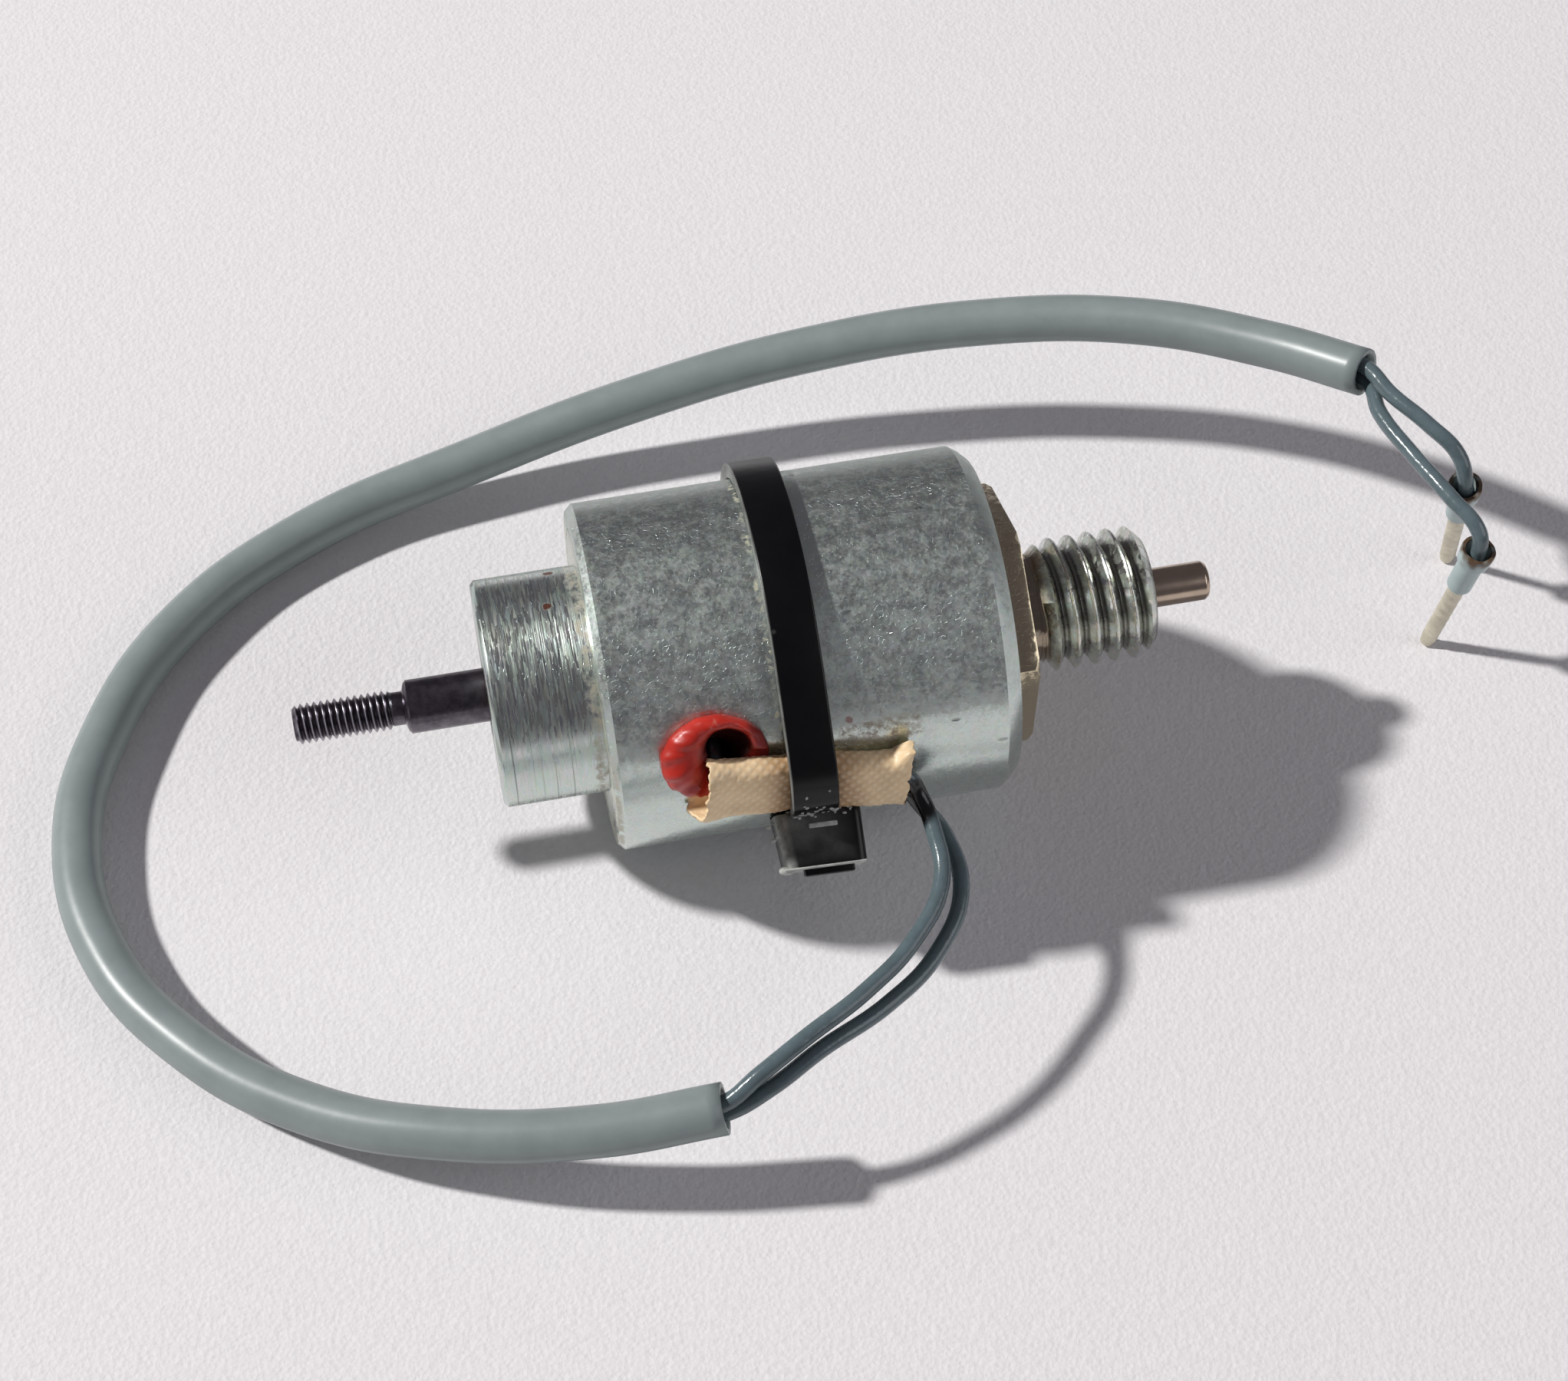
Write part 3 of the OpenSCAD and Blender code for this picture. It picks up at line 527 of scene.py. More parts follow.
def tie_plastic():
    """Black nylon that turns pale where it's torn, with a little dust; the same pale colour is painted as a highlight
    in the head's slot and as sheen on its left flank.
    """
    material, tree, shader, place = finish_tree("tie_plastic", 0.3, ior=1.36)
    nylon = tuple(colours().nylon)
    dust = use(tree, dash_group(), {"Vector": place, "Scale": 620.0, "Rarity": 0.86})
    grain = use(tree, grain_group(), {"Vector": place, "Scale": 500.0, "Cell Scale": 1500.0})
    tone = mix(tree, maths(tree, "MULTIPLY", grain["Mask"], 0.4), nylon, paint(14, 14, 16))
    tone = mix(tree, maths(tree, "MULTIPLY", dust["Mask"], 0.2), tone, paint(120, 120, 118))
    wear_and_painted_light = wear_and_painted_light_mask(tree)
    cloud = maths(tree, "MULTIPLY_ADD", grain["Mask"], 0.5)
    cloud.node.inputs[2].default_value = 0.5
    # Pale where torn, and painted highlight in the slot and painted sheen on the head's flank, after the vertex marks.
    tone = mix(tree, maths(tree, "MULTIPLY", wear_and_painted_light, cloud), tone, paint(222, 226, 220))
    tree.links.new(tone, shader.inputs["Base Color"])
    set_rough(tree, shader, wear_and_painted_light, 0.3, 0.6)
    bump(tree, shader, grain["Height"], 0.008 * MM)
    return material


def red_silicone():
    """Red silicone, with random darker blotches as painted shade of its folds, pale streaks as painted highlights, and
    painted shade in its bore and on the side under the sleeve.
    """
    material, tree, shader, place = finish_tree("red_silicone", 0.35)
    rubber = tuple(colours().rubber)
    grain = use(tree, grain_group(), {"Vector": place, "Scale": 380.0, "Cell Scale": 1500.0})
    marks = use(tree, scratch_group(), {
        "Vector": place, "Stretched": stretched(tree, place, (1.0, 0.3, 0.3)), "Scale": 700.0})
    # Painted shade: random darker blotches stand in for the shade of folds.
    tone = mix(tree, maths(tree, "MULTIPLY", grain["Mask"], 0.45), rubber, scaled(rubber, 0.45))
    # Painted highlights: pale streaks.
    tone = mix(tree, maths(tree, "MULTIPLY", marks["Mask"], 0.5), tone, paint(214, 150, 134))
    # Painted shade: dark red in the bore, where the vertex marks are high.
    tone = mix(tree, wear_and_painted_light_mask(tree), tone, paint(54, 10, 12))
    # Painted shade: darker red at the +X end, where the sleeve lies over the grommet.
    sleeve_shade = ramp(tree, split(tree, place)[0], HOLE_X + 2.2 * MM, HOLE_X + 3.4 * MM)
    tone = mix(tree, maths(tree, "MULTIPLY", sleeve_shade, 0.7), tone, paint(92, 20, 26))
    tree.links.new(tone, shader.inputs["Base Color"])
    bump(tree, shader, grain["Height"], 0.03 * MM)
    return material


def glass_fibre():
    """Varnished weave: pale yarn crowns, scorched brown beside the strap."""
    material, tree, shader, place = finish_tree("glass_fibre", 0.42)
    cloth = tuple(colours().glass_fibre)
    x = split(tree, place)[0]
    blotch = use(tree, grain_group(), {"Vector": place, "Scale": 330.0, "Cell Scale": 1700.0})
    tone = mix(tree, maths(tree, "MULTIPLY", blotch["Mask"], 0.5), cloth, scaled(cloth, 0.78))
    away = maths(tree, "ABSOLUTE", maths(tree, "SUBTRACT", x, TIE_X))
    away = wobbled(tree, place, away, 1.6 * MM, 600.0)
    scorch = ramp(tree, away, 4.6 * MM, 1.7 * MM)
    tone = mix(tree, maths(tree, "MULTIPLY", scorch, 0.7), tone, paint(168, 120, 72))
    crowns = maths(tree, "MULTIPLY", ramp(tree, wear_and_painted_light_mask(tree), 0.3, 1.0), 0.35)
    tone = mix(tree, crowns, tone, paint(252, 236, 204), "LIGHTEN")
    tree.links.new(tone, shader.inputs["Base Color"])
    bump(tree, shader, blotch["Height"], 0.03 * MM)
    return material


def lead_insulation():
    """Grey green insulation, painted near black as shade where the leads come out of the sleeve and on their runs
    inside the hole and under the sleeve.
    """
    material, tree, shader, place = finish_tree("lead_insulation", 0.2)
    skin = tuple(colours().insulation)
    grain = use(tree, grain_group(), {"Vector": place, "Scale": 700.0, "Cell Scale": 1800.0})
    tone = mix(tree, grain["Mask"], skin, scaled(skin, 0.82))
    # Painted shade: near black where the leads leave the sleeve, and inside the housing's hole and under the sleeve.
    away = add(tree, "VectorMath", {0: place, 1: tuple(LEADS_OUT * MM)}, operation="DISTANCE")
    black = ramp(tree, wobbled(tree, place, away.outputs["Value"], 0.6 * MM, 900.0), 2.6 * MM, 1.8 * MM)
    inside = maths(tree, "MULTIPLY", ramp(tree, from_axis(tree, place), 14.6 * MM, 14.0 * MM),
                   ramp(tree, split(tree, place)[0], -2 * MM, -6 * MM))
    black = maths(tree, "MAXIMUM", black, inside)
    tone = mix(tree, black, tone, paint(16, 15, 17))
    tree.links.new(tone, shader.inputs["Base Color"])
    bump(tree, shader, grain["Height"], 0.03 * MM)
    return material


def ferrule_plastic():
    """Pale collar plastic, scorched brown at its rim."""
    material, tree, shader, place = finish_tree("ferrule_plastic", 0.42)
    skin = tuple(colours().ferrule)
    grain = use(tree, grain_group(), {"Vector": place, "Scale": 500.0, "Cell Scale": 1500.0})
    tone = mix(tree, maths(tree, "MULTIPLY", grain["Mask"], 0.5), skin, scaled(skin, 0.8))
    tone = mix(tree, wear_and_painted_light_mask(tree), tone, paint(92, 70, 50))
    tree.links.new(tone, shader.inputs["Base Color"])
    bump(tree, shader, grain["Height"], 0.012 * MM)
    return material


def simple_finish(name, base, roughness, metallic=0.0, scale=600.0, depth=0.01, contrast=0.8, **constants):
    """A finish with fine mottling and grain of its own scale."""
    material, tree, shader, place = finish_tree(name, roughness, metallic, **constants)
    grain = use(tree, grain_group(), {"Vector": place, "Scale": scale, "Cell Scale": 2.6 * scale})
    tone = mix(tree, grain["Mask"], base, scaled(base, contrast))
    tree.links.new(tone, shader.inputs["Base Color"])
    bump(tree, shader, grain["Height"], depth * MM)
    return material


FINISHES = {}


def finish(name):
    """A finish by name, made the first time that a piece asks for it."""
    if name not in FINISHES:
        makers = {
            "plated_steel": plated_steel,
            "turned_steel": turned_steel,
            "thread_steel": thread_steel,
            "black_oxide": black_oxide,
            "polished_steel": lambda: simple_finish("polished_steel", paint(196, 178, 160), 0.22, 1.0,
                                                    depth=0.003, contrast=0.9),
            "tie_plastic": tie_plastic,
            "red_silicone": red_silicone,
            "glass_fibre": glass_fibre,
            "lead_insulation": lead_insulation,
            "tube_vinyl": lambda: simple_finish("tube_vinyl", tuple(colours().vinyl), 0.36, scale=300.0,
                                                contrast=0.9),
            "tinned_copper": lambda: simple_finish("tinned_copper", paint(214, 208, 188), 0.4, 0.5),
            "ferrule_plastic": ferrule_plastic,
            "bush_bronze": lambda: simple_finish("bush_bronze", paint(176, 134, 78), 0.4, 1.0),
            "bumper_rubber": lambda: simple_finish("bumper_rubber", paint(30, 30, 30), 0.8),
            "brass_tube": lambda: simple_finish("brass_tube", paint(206, 172, 100), 0.3, 1.0),
            "red_fibre": lambda: simple_finish("red_fibre", paint(150, 60, 44), 0.8),
            "bobbin_plastic": lambda: simple_finish("bobbin_plastic", paint(228, 222, 206), 0.5),
            "copper_wire": copper_wire,
            "yellow_tape": lambda: simple_finish("yellow_tape", paint(222, 184, 60), 0.25),
            "splice_sleeve": lambda: simple_finish("splice_sleeve", paint(40, 40, 44), 0.5),
            "plunger_steel": lambda: simple_finish("plunger_steel", paint(176, 176, 174), 0.25, 1.0),
        }
        FINISHES[name] = makers[name]()
    return FINISHES[name]


def copper_wire():
    """Enamelled winding: fine turns side by side along the axis."""
    material, tree, shader, place = finish_tree("copper_wire", 0.3, 1.0)
    turns = add(tree, "TexWave", {"Vector": place, "Scale": 1200.0, "Distortion": 0.4},
                bands_direction="X")
    tone = mix(tree, turns.outputs["Fac"], paint(120, 58, 30), paint(206, 122, 70))
    tree.links.new(tone, shader.inputs["Base Color"])
    bump(tree, shader, turns.outputs["Fac"], 0.05 * MM)
    return material


# ---------------------------------------------------------------- mesh building


def turned(outline, steps=ROUND, closed=True):
    """Turns an outline of (x, radius) points, in metres, about the X axis."""
    shape = bmesh.new()
    corners = [shape.verts.new((x, 0, radius)) for x, radius in outline]
    pairs = list(zip(corners, corners[1:]))
    if closed:
        pairs.append((corners[-1], corners[0]))
    for pair in pairs:
        shape.edges.new(pair)
    bmesh.ops.spin(
        shape, geom=shape.verts[:] + shape.edges[:], cent=(0, 0, 0), axis=AXIS,
        angle=2 * math.pi, steps=steps, use_merge=True)
    bmesh.ops.remove_doubles(shape, verts=shape.verts, dist=1e-7)
    bmesh.ops.recalc_face_normals(shape, faces=shape.faces)
    return shape


def in_mm(outline):
    return [(x * MM, radius * MM) for x, radius in outline]


def soften(shape, width, segments=3, angle=SHARP):
    """Rounds the sharp edges of a shape by a width."""
    sharp = [edge for edge in shape.edges if edge.is_manifold and edge.calc_face_angle(0) > angle]
    bmesh.ops.bevel(
        shape, geom=sharp, offset=width, offset_type="OFFSET", segments=segments, profile=0.5,
        affect="EDGES", material=-1, clamp_overlap=True)


THREAD_OUTLINE = (
    (0.0, 1.0), (0.06, 0.97), (0.13, 0.86), (0.37, 0.18), (0.43, 0.05), (0.5, 0.0),
    (0.57, 0.05), (0.63, 0.18), (0.87, 0.86), (0.94, 0.97),
)


def threaded(low, high, radius, pitch, steps=120):
    """A bar with a right-handed thread from low to high, cut square at both ends."""
    depth = 0.6134 * pitch
    turns = int((high - low) / pitch) + 4
    shape = bmesh.new()
    row = [
        shape.verts.new((low + (turn - 2 + share) * pitch, 0, radius - drop * depth))
        for turn in range(turns) for share, drop in THREAD_OUTLINE
    ]
    for pair in zip(row, row[1:]):
        shape.edges.new(pair)
    bmesh.ops.spin(
        shape, geom=shape.verts[:] + shape.edges[:], cent=(0, 0, 0), axis=AXIS,
        angle=2 * math.pi, steps=steps, dvec=(pitch / steps, 0, 0))
    bmesh.ops.remove_doubles(shape, verts=shape.verts, dist=0.002 * pitch)
    for place, direction in ((low, -1), (high, 1)):
        cut = bmesh.ops.bisect_plane(
            shape, geom=shape.verts[:] + shape.edges[:] + shape.faces[:], dist=1e-8,
            plane_co=(place, 0, 0), plane_no=(direction, 0, 0), clear_outer=True)
        rim = [item for item in cut["geom_cut"] if isinstance(item, bmesh.types.BMEdge)]
        bmesh.ops.contextual_create(shape, geom=rim)
    bmesh.ops.recalc_face_normals(shape, faces=shape.faces)
    return shape


def as_mesh(shape, name="shape"):
    mesh = bpy.data.meshes.new(name)
    shape.to_mesh(mesh)
    shape.free()
    return mesh


def carved(shape, tool, operation):
    """The shape cut by, joined to or kept inside a tool shape."""
    holders = []
    for part in (shape, tool):
        holder = bpy.data.objects.new("carving", as_mesh(part))
        bpy.context.scene.collection.objects.link(holder)
        holders.append(holder)
    modifier = holders[0].modifiers.new("Boolean", "BOOLEAN")
    modifier.object = holders[1]
    modifier.operation = operation
    modifier.solver = "EXACT"
    bpy.context.view_layer.update()
    result = bpy.data.meshes.new_from_object(holders[0].evaluated_get(bpy.context.evaluated_depsgraph_get()))
    carving = bmesh.new()
    carving.from_mesh(result)
    for holder in holders:
        mesh = holder.data
        bpy.data.objects.remove(holder)
        bpy.data.meshes.remove(mesh)
    bpy.data.meshes.remove(result)
    return carving


def joined(*shapes):
    """Several shapes as one."""
    whole = bmesh.new()
    for shape in shapes:
        mesh = as_mesh(shape)
        whole.from_mesh(mesh)
        bpy.data.meshes.remove(mesh)
    return whole


def mark(shape, wear_and_painted_light):
    """Stores each vertex's mark (tearing, scorch, weave, painted light), from a function of its place or one value for
    all.
    """
    layer = shape.verts.layers.float.get("wear_and_painted_light") or shape.verts.layers.float.new("wear_and_painted_light")
    for vert in shape.verts:
        vert[layer] = wear_and_painted_light(vert.co) if callable(wear_and_painted_light) else wear_and_painted_light
    return shape


def piece(name, shape, body, finish_name, nodes=(), angle=SHARP):
    """Finishes a shape as a named piece that rides on a body and stands for CAD nodes."""
    mesh = shape if isinstance(shape, bpy.types.Mesh) else as_mesh(shape, name)
    mesh.name = name
    for face in mesh.polygons:
        face.use_smooth = True
    mesh.set_sharp_from_angle(angle=angle)
    mesh.materials.clear()
    mesh.materials.append(finish(finish_name))
    made = bpy.data.objects.new(name, mesh)
    bpy.context.scene.collection.objects.link(made)
    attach(made, body)
    if nodes:
        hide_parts(*nodes)
    return made


def on_side(x, angle):
    """The place on the side of the housing's axis: Z outwards, Y up round the tube."""
    return Matrix.Translation((x, 0, 0)) @ Matrix.Rotation(math.pi / 2 - angle, 4, "X")


def centre_line(route):
    """Smooth points through a route given in millimetres, and the curve that makes them."""
    curve = bpy.data.curves.new("route", "CURVE")
    curve.dimensions = "3D"
    curve.resolution_u = 10
    spline = curve.splines.new("BEZIER")
    spline.bezier_points.add(len(route) - 1)
    for knot, place in zip(spline.bezier_points, route):
        knot.co = Vector(place) * MM
        knot.handle_left_type = "AUTO"
        knot.handle_right_type = "AUTO"
    return curve


def sweep(name, route, radius, capped=True):
    """A round tube swept along a route, as a mesh with its UV map, and the line that it follows."""
    curve = centre_line(route)
    curve.bevel_depth = radius
    curve.bevel_resolution = 6
    curve.use_fill_caps = capped
    holder = bpy.data.objects.new(name, curve)
    bpy.context.scene.collection.objects.link(holder)
    bpy.context.view_layer.update()
    mesh = bpy.data.meshes.new_from_object(holder.evaluated_get(bpy.context.evaluated_depsgraph_get()))
    knots = curve.splines[0].bezier_points
    line = []
    for first, second in zip(knots, knots[1:]):
        line += interpolate_bezier(first.co, first.handle_right, second.handle_left, second.co, 9)[:-1]
    line.append(knots[-1].co.copy())
    bpy.data.objects.remove(holder)
    return mesh, [tuple(point) for point in line]


# ---------------------------------------------------------------- operators


class SOLENOID_OT_stage(bpy.types.Operator):
    """Lays the pale floor, hangs the soft lamps and places the camera"""

    bl_idname = "solenoid.stage"
    bl_label = "Stage"

    def execute(self, context):
        shape = bmesh.new()
        bmesh.ops.create_grid(shape, x_segments=1, y_segments=1, size=0.5)
        bmesh.ops.scale(shape, verts=shape.verts, vec=(0.5, 0.3, 1))
        bmesh.ops.translate(shape, verts=shape.verts, vec=(0, -0.045, FLOOR_Z))
        mesh = as_mesh(shape, "floor")
        material, tree, shader, place = finish_tree("floor_paper", 0.9)
        tooth = use(tree, grain_group(), {"Vector": place, "Scale": 2000.0, "Cell Scale": 2600.0})
        paper = tuple(colours().floor)
        tree.links.new(mix(tree, tooth["Mask"], paper, scaled(paper, 0.95)), shader.inputs["Base Color"])
        bump(tree, shader, tooth["Height"], 0.06 * MM)
        mesh.materials.append(material)
        floor = bpy.data.objects.new("floor", mesh)
        context.scene.collection.objects.link(floor)

        self.lamp("key", (-0.707, 0.237, 0.667), 2.4, 0.16, 62, (1.0, 0.985, 0.97))
        self.lamp("fill", (0.8, -0.45, 0.5), 1.5, 1.2, 6, (0.97, 0.97, 1.0))
        world = bpy.data.worlds.new("studio")
        world.use_nodes = True
        back = world.node_tree.nodes["Background"]
        back.inputs["Color"].default_value = (0.108, 0.1, 0.112, 1.0)
        context.scene.world = world

        camera = bpy.data.cameras.new("camera")
        camera.sensor_width = 36
        camera.lens = 72.87
        camera.clip_start = 0.01
        holder = bpy.data.objects.new("camera", camera)
        right = Vector((0.98198768, -0.18869044, -0.00980395))
        up = Vector((0.15848492, 0.79431999, 0.58646252))
        back_way = Vector((-0.1028724, -0.57745275, 0.80991703))
        turn = Matrix((right, up, back_way)).transposed()
        holder.matrix_world = Matrix.Translation(Vector((-42.315, -139.64, 190.307)) * MM) @ turn.to_4x4()
        context.scene.collection.objects.link(holder)
        context.scene.camera = holder
        context.scene.view_settings.view_transform = "Standard"
        return {"FINISHED"}

    def lamp(self, name, direction, distance, size, power, tint):
        light = bpy.data.lights.new(name, "AREA")
        light.shape = "DISK"
        light.size = size
        light.energy = power
        light.color = tint
        holder = bpy.data.objects.new(name, light)
        way = Vector(direction).normalized()
        holder.location = way * distance
        holder.rotation_euler = way.to_track_quat("Z", "Y").to_euler()
        bpy.context.scene.collection.objects.link(holder)


def toward(start, end, distance):
    return start + (end - start).normalized() * distance


def held_run(side):
    """A lead's run from its splice, out through the grommet and along inside the sleeve."""
    gap = 0.655 * side
    half = sizes().sleeve_length / MM / 2
    aside = 0.5
    hole = on_side(HOLE_X / MM, HOLE_ANGLE)
    sleeve = on_side(SLEEVE_X / MM, SLEEVE_ANGLE) @ Matrix.Rotation(-SLEEVE_SLANT, 4, "Z")
    return [
        hole @ Vector((4.3, gap, 10.3)), hole @ Vector((1.6, gap, 10.3)), hole @ Vector((0.3, gap, 11)),
        hole @ Vector((-0.1, gap, 12.4)), sleeve @ Vector((1.4 - half, aside + gap, 14.05)),
        sleeve @ Vector((4 - half, 0.8 * aside + gap, 14.05)), sleeve @ Vector((half, gap - aside, 14.05)),
    ]


def in_tube(side):
    """A lead's run inside the tube, one lead above the other."""
    run = []
    for index, place in enumerate(TUBE_ROUTE):
        before = Vector(TUBE_ROUTE[max(index - 1, 0)])
        after = Vector(TUBE_ROUTE[min(index + 1, len(TUBE_ROUTE) - 1)])
        way = (after - before).normalized()
        up = Vector((0, 0, 1))
        up = (up - up.dot(way) * way).normalized()
        run.append(Vector(place) + up * 0.655 * side)
    return run


class SOLENOID_OT_cords(bpy.types.Operator):
    """Makes the two leads and the tube over them"""

    bl_idname = "solenoid.cords"
    bl_label = "Leads and tube"

    def execute(self, context):
        size = sizes()
        mesh, line = sweep("lead_tube_skin", TUBE_ROUTE, size.tube_diameter / 2, capped=False)
        tube = piece("lead_tube_skin", mesh, FIXED, "tube_vinyl", ("lead_tube",))
        wall = tube.modifiers.new("Wall", "SOLIDIFY")
        wall.thickness = size.tube_wall
        wall.offset = -1
        runs = (("a", 1, NEAR_A, FAR_A, FERRULE_A), ("b", -1, NEAR_B, FAR_B, FERRULE_B))
        exits = []
        for letter, side, near, far, (tip, rim) in runs:
            held = held_run(side)
            exits.append(held[-1])
            route = held + list(near) + in_tube(side) + list(far) + [
                toward(tip, rim, PIN_LENGTH + COLLAR_LENGTH), toward(tip, rim, PIN_LENGTH + 1.22)]
            mesh, lead_line = sweep("lead_" + letter + "_skin", route, size.lead_diameter / 2)
            lead = piece("lead_" + letter + "_skin", mesh, FIXED, "lead_insulation", ("lead_" + letter,))
        return {"FINISHED"}


class SOLENOID_OT_housing(bpy.types.Operator):
    """Turns the plated housing tube and the boss behind it"""

    bl_idname = "solenoid.housing"
    bl_label = "Housing"

    def execute(self, context):
        shell = turned(in_mm([
            (-32, 11.2), (-32, 12.5), (-31.5, 13), (-3.2, 13), (-2.6, 12.6), (-2, 12), (-2, 11.2)]))
        drill = bmesh.new()
        bmesh.ops.create_cone(
            drill, cap_ends=True, segments=64, radius1=2.5 * MM, radius2=2.5 * MM, depth=6 * MM,
            matrix=on_side(HOLE_X, HOLE_ANGLE) @ Matrix.Translation((0, 0, HOUSING_R)))
        shell = carved(shell, drill, "DIFFERENCE")
        piece("housing_tube_skin", shell, FIXED, "plated_steel", ("housing_tube",))
        boss = turned(in_mm([
            (-28, 5.24), (-37.3, 5.24), (-37.3, 3.51), (-39.8, 3.51), (-39.8, 8.2), (-39.5, 8.5),
            (-32, 8.5), (-32, 11.15), (-28, 11.15)]))
        soften(boss, 0.04 * MM, 2)
        piece("rear_end_piece_skin", boss, FIXED, "turned_steel", ("rear_end_piece",))
        return {"FINISHED"}


class SOLENOID_OT_nose(bpy.types.Operator):
    """Makes the hex flange, the threaded nose stud and the push pin"""

    bl_idname = "solenoid.nose"
    bl_label = "Nose and push pin"

    def execute(self, context):
        size = sizes()
        core = turned(in_mm([
            (-12.5, 1.9), (-12.5, 4.79), (-6, 4.79), (-6, 11.15), (-2, 11.15), (-2, 4), (1.9, 4),
            (1.9, 1.9)]))
        hexagon = bmesh.new()
        bmesh.ops.create_cone(
            hexagon, cap_ends=True, segments=6, radius1=8.5 / math.cos(math.pi / 6) * MM,
            radius2=8.5 / math.cos(math.pi / 6) * MM, depth=2 * MM)
        bmesh.ops.transform(
            hexagon, verts=hexagon.verts,
            matrix=Matrix.Translation((-1 * MM, 0, 0)) @ Matrix.Rotation(math.radians(34), 4, "X")
            @ Matrix.Rotation(math.pi / 2, 4, "Y"))
        dome = turned(in_mm([
            (-2.2, 0), (-2.2, 10.5), (-0.4, 9.82), (0, 9.42), (0, 5.1), (-0.15, 5.1), (-0.15, 0)]))
        hexagon = carved(hexagon, dome, "INTERSECT")
        soften(hexagon, 0.1 * MM, 2)
        stud = threaded(1.5 * MM, 10.3 * MM, 5 * MM, size.stud_pitch)
        trim = turned(in_mm([
            (1.4, 2.51), (1.4, 4.05), (1.75, 4.12), (2.9, 5.2), (9.4, 5.05), (10.3, 4.15), (10.3, 2.51)]))
        stud = carved(stud, trim, "INTERSECT")
        piece("front_pole_skin", joined(core, hexagon, stud), FIXED, "thread_steel", ("front_pole",),
              angle=math.radians(40))
        pin = turned(in_mm([
            (-25.9, 0), (-25.9, 1.5), (14.85, 1.5), (15.15, 1.3), (15.22, 1.1), (15.22, 0)]), closed=False)
        soften(pin, 0.04 * MM, 2)
        piece("push_pin_skin", pin, MOVING, "polished_steel", ("push_pin",))
        return {"FINISHED"}


class SOLENOID_OT_rod(bpy.types.Operator):
    """Makes the black rod with its threaded end"""

    bl_idname = "solenoid.rod"
    bl_label = "Pull rod"

    def execute(self, context):
        thread = threaded(-54.1 * MM, -46.7 * MM, 1.5 * MM, sizes().rod_pitch, steps=64)
        trim = turned(in_mm([(-54.1, 0), (-54.1, 1.15), (-53.7, 1.56), (-47.3, 1.56), (-46.7, 1.2), (-46.7, 0)]),
                      closed=False)
        thread = carved(thread, trim, "INTERSECT")
        shank = turned(in_mm([
            (-46.8, 0), (-46.8, 1.25), (-46, 1.25), (-45.8, 1.8), (-45.6, 2), (-28.2, 2), (-28.2, 0)]),
            closed=False)
        piece("plunger_rod_skin", joined(thread, shank), MOVING, "black_oxide", ("plunger_rod",))
        return {"FINISHED"}


class SOLENOID_OT_grommet(bpy.types.Operator):
    """Makes the red grommet, a fat ring that the sleeve squeezes"""

    bl_idname = "solenoid.grommet"
    bl_label = "Lead grommet"

    def execute(self, context):
        ring = turned(in_mm([
            (11, 1.35), (11, 2.42), (12.95, 2.45), (13.05, 3.2), (13.08, 3.7), (13.3, 3.95),
            (13.7, 3.92), (14.05, 3.65), (14.27, 3.2), (14.36, 2.7), (14.25, 2.1), (13.95, 1.65),
            (13.4, 1.4), (12.6, 1.35)]), steps=144)
        # Marks the bore, which the finish paints dark red: painted shade inside the hole.
        mark(ring, lambda place: smooth(2.2, 1.4, math.hypot(place.y, place.z) / MM))
        hole = on_side(HOLE_X, HOLE_ANGLE)
        for vert in ring.verts:
            vert.co = hole @ self.squeezed(vert.co / MM)
        piece("lead_grommet_skin", ring, FIXED, "red_silicone", ("lead_grommet",), angle=math.radians(70))
        return {"FINISHED"}

    def squeezed(self, place):
        """A point of the round ring on the squeezed one: flatter, its bore up and forwards."""
        height, up, across = place.x, place.y, -place.z
        radius, turn = math.hypot(across, up), math.atan2(up, across)
        fold = noise.noise(Vector((across, up, 4.2)) * 0.9)
        if height > 12.8:
            out = min(max((radius - 1.35) / 2.6, 0), 1)
            wide, tall = 3.95 + 0.15 * fold, (3.3 if up > 0 else 3.3) + 0.15 * fold
            across = (1 - out) * (0.95 + 1.45 * math.cos(turn)) + out * wide * math.cos(turn)
            up = (1 - out) * (1.0 + 1.35 * math.sin(turn)) + out * (tall * math.sin(turn) + 0.1)
        swell = 1 - 0.22 * math.cos(turn)
        lift = max(height - 13.05, 0) * swell * (1 + 0.3 * fold)
        level = min(height, 13.05) + min(lift, room_under_sleeve(across, up))
        wrap = up / (HOUSING_R / MM)
        return Vector((across, level * math.sin(wrap), level * math.cos(wrap))) * MM


def room_under_sleeve(across, up):
    """Height that the sleeve leaves over the housing, at a place given from the hole in millimetres."""
    along = (HOLE_X - SLEEVE_X) / MM + across
    side = (HOLE_ANGLE - SLEEVE_ANGLE) * HOUSING_R / MM + up
    slant = math.cos(SLEEVE_SLANT), math.sin(SLEEVE_SLANT)
    u, v = along * slant[0] - side * slant[1], along * slant[1] + side * slant[0]
    half = sizes().sleeve_length / MM / 2
    edge = max(abs(v) - sizes().sleeve_width / MM / 2, -half - u)
    return 0.42 + 3 * min(max(edge + 0.35, 0), 1) ** 2


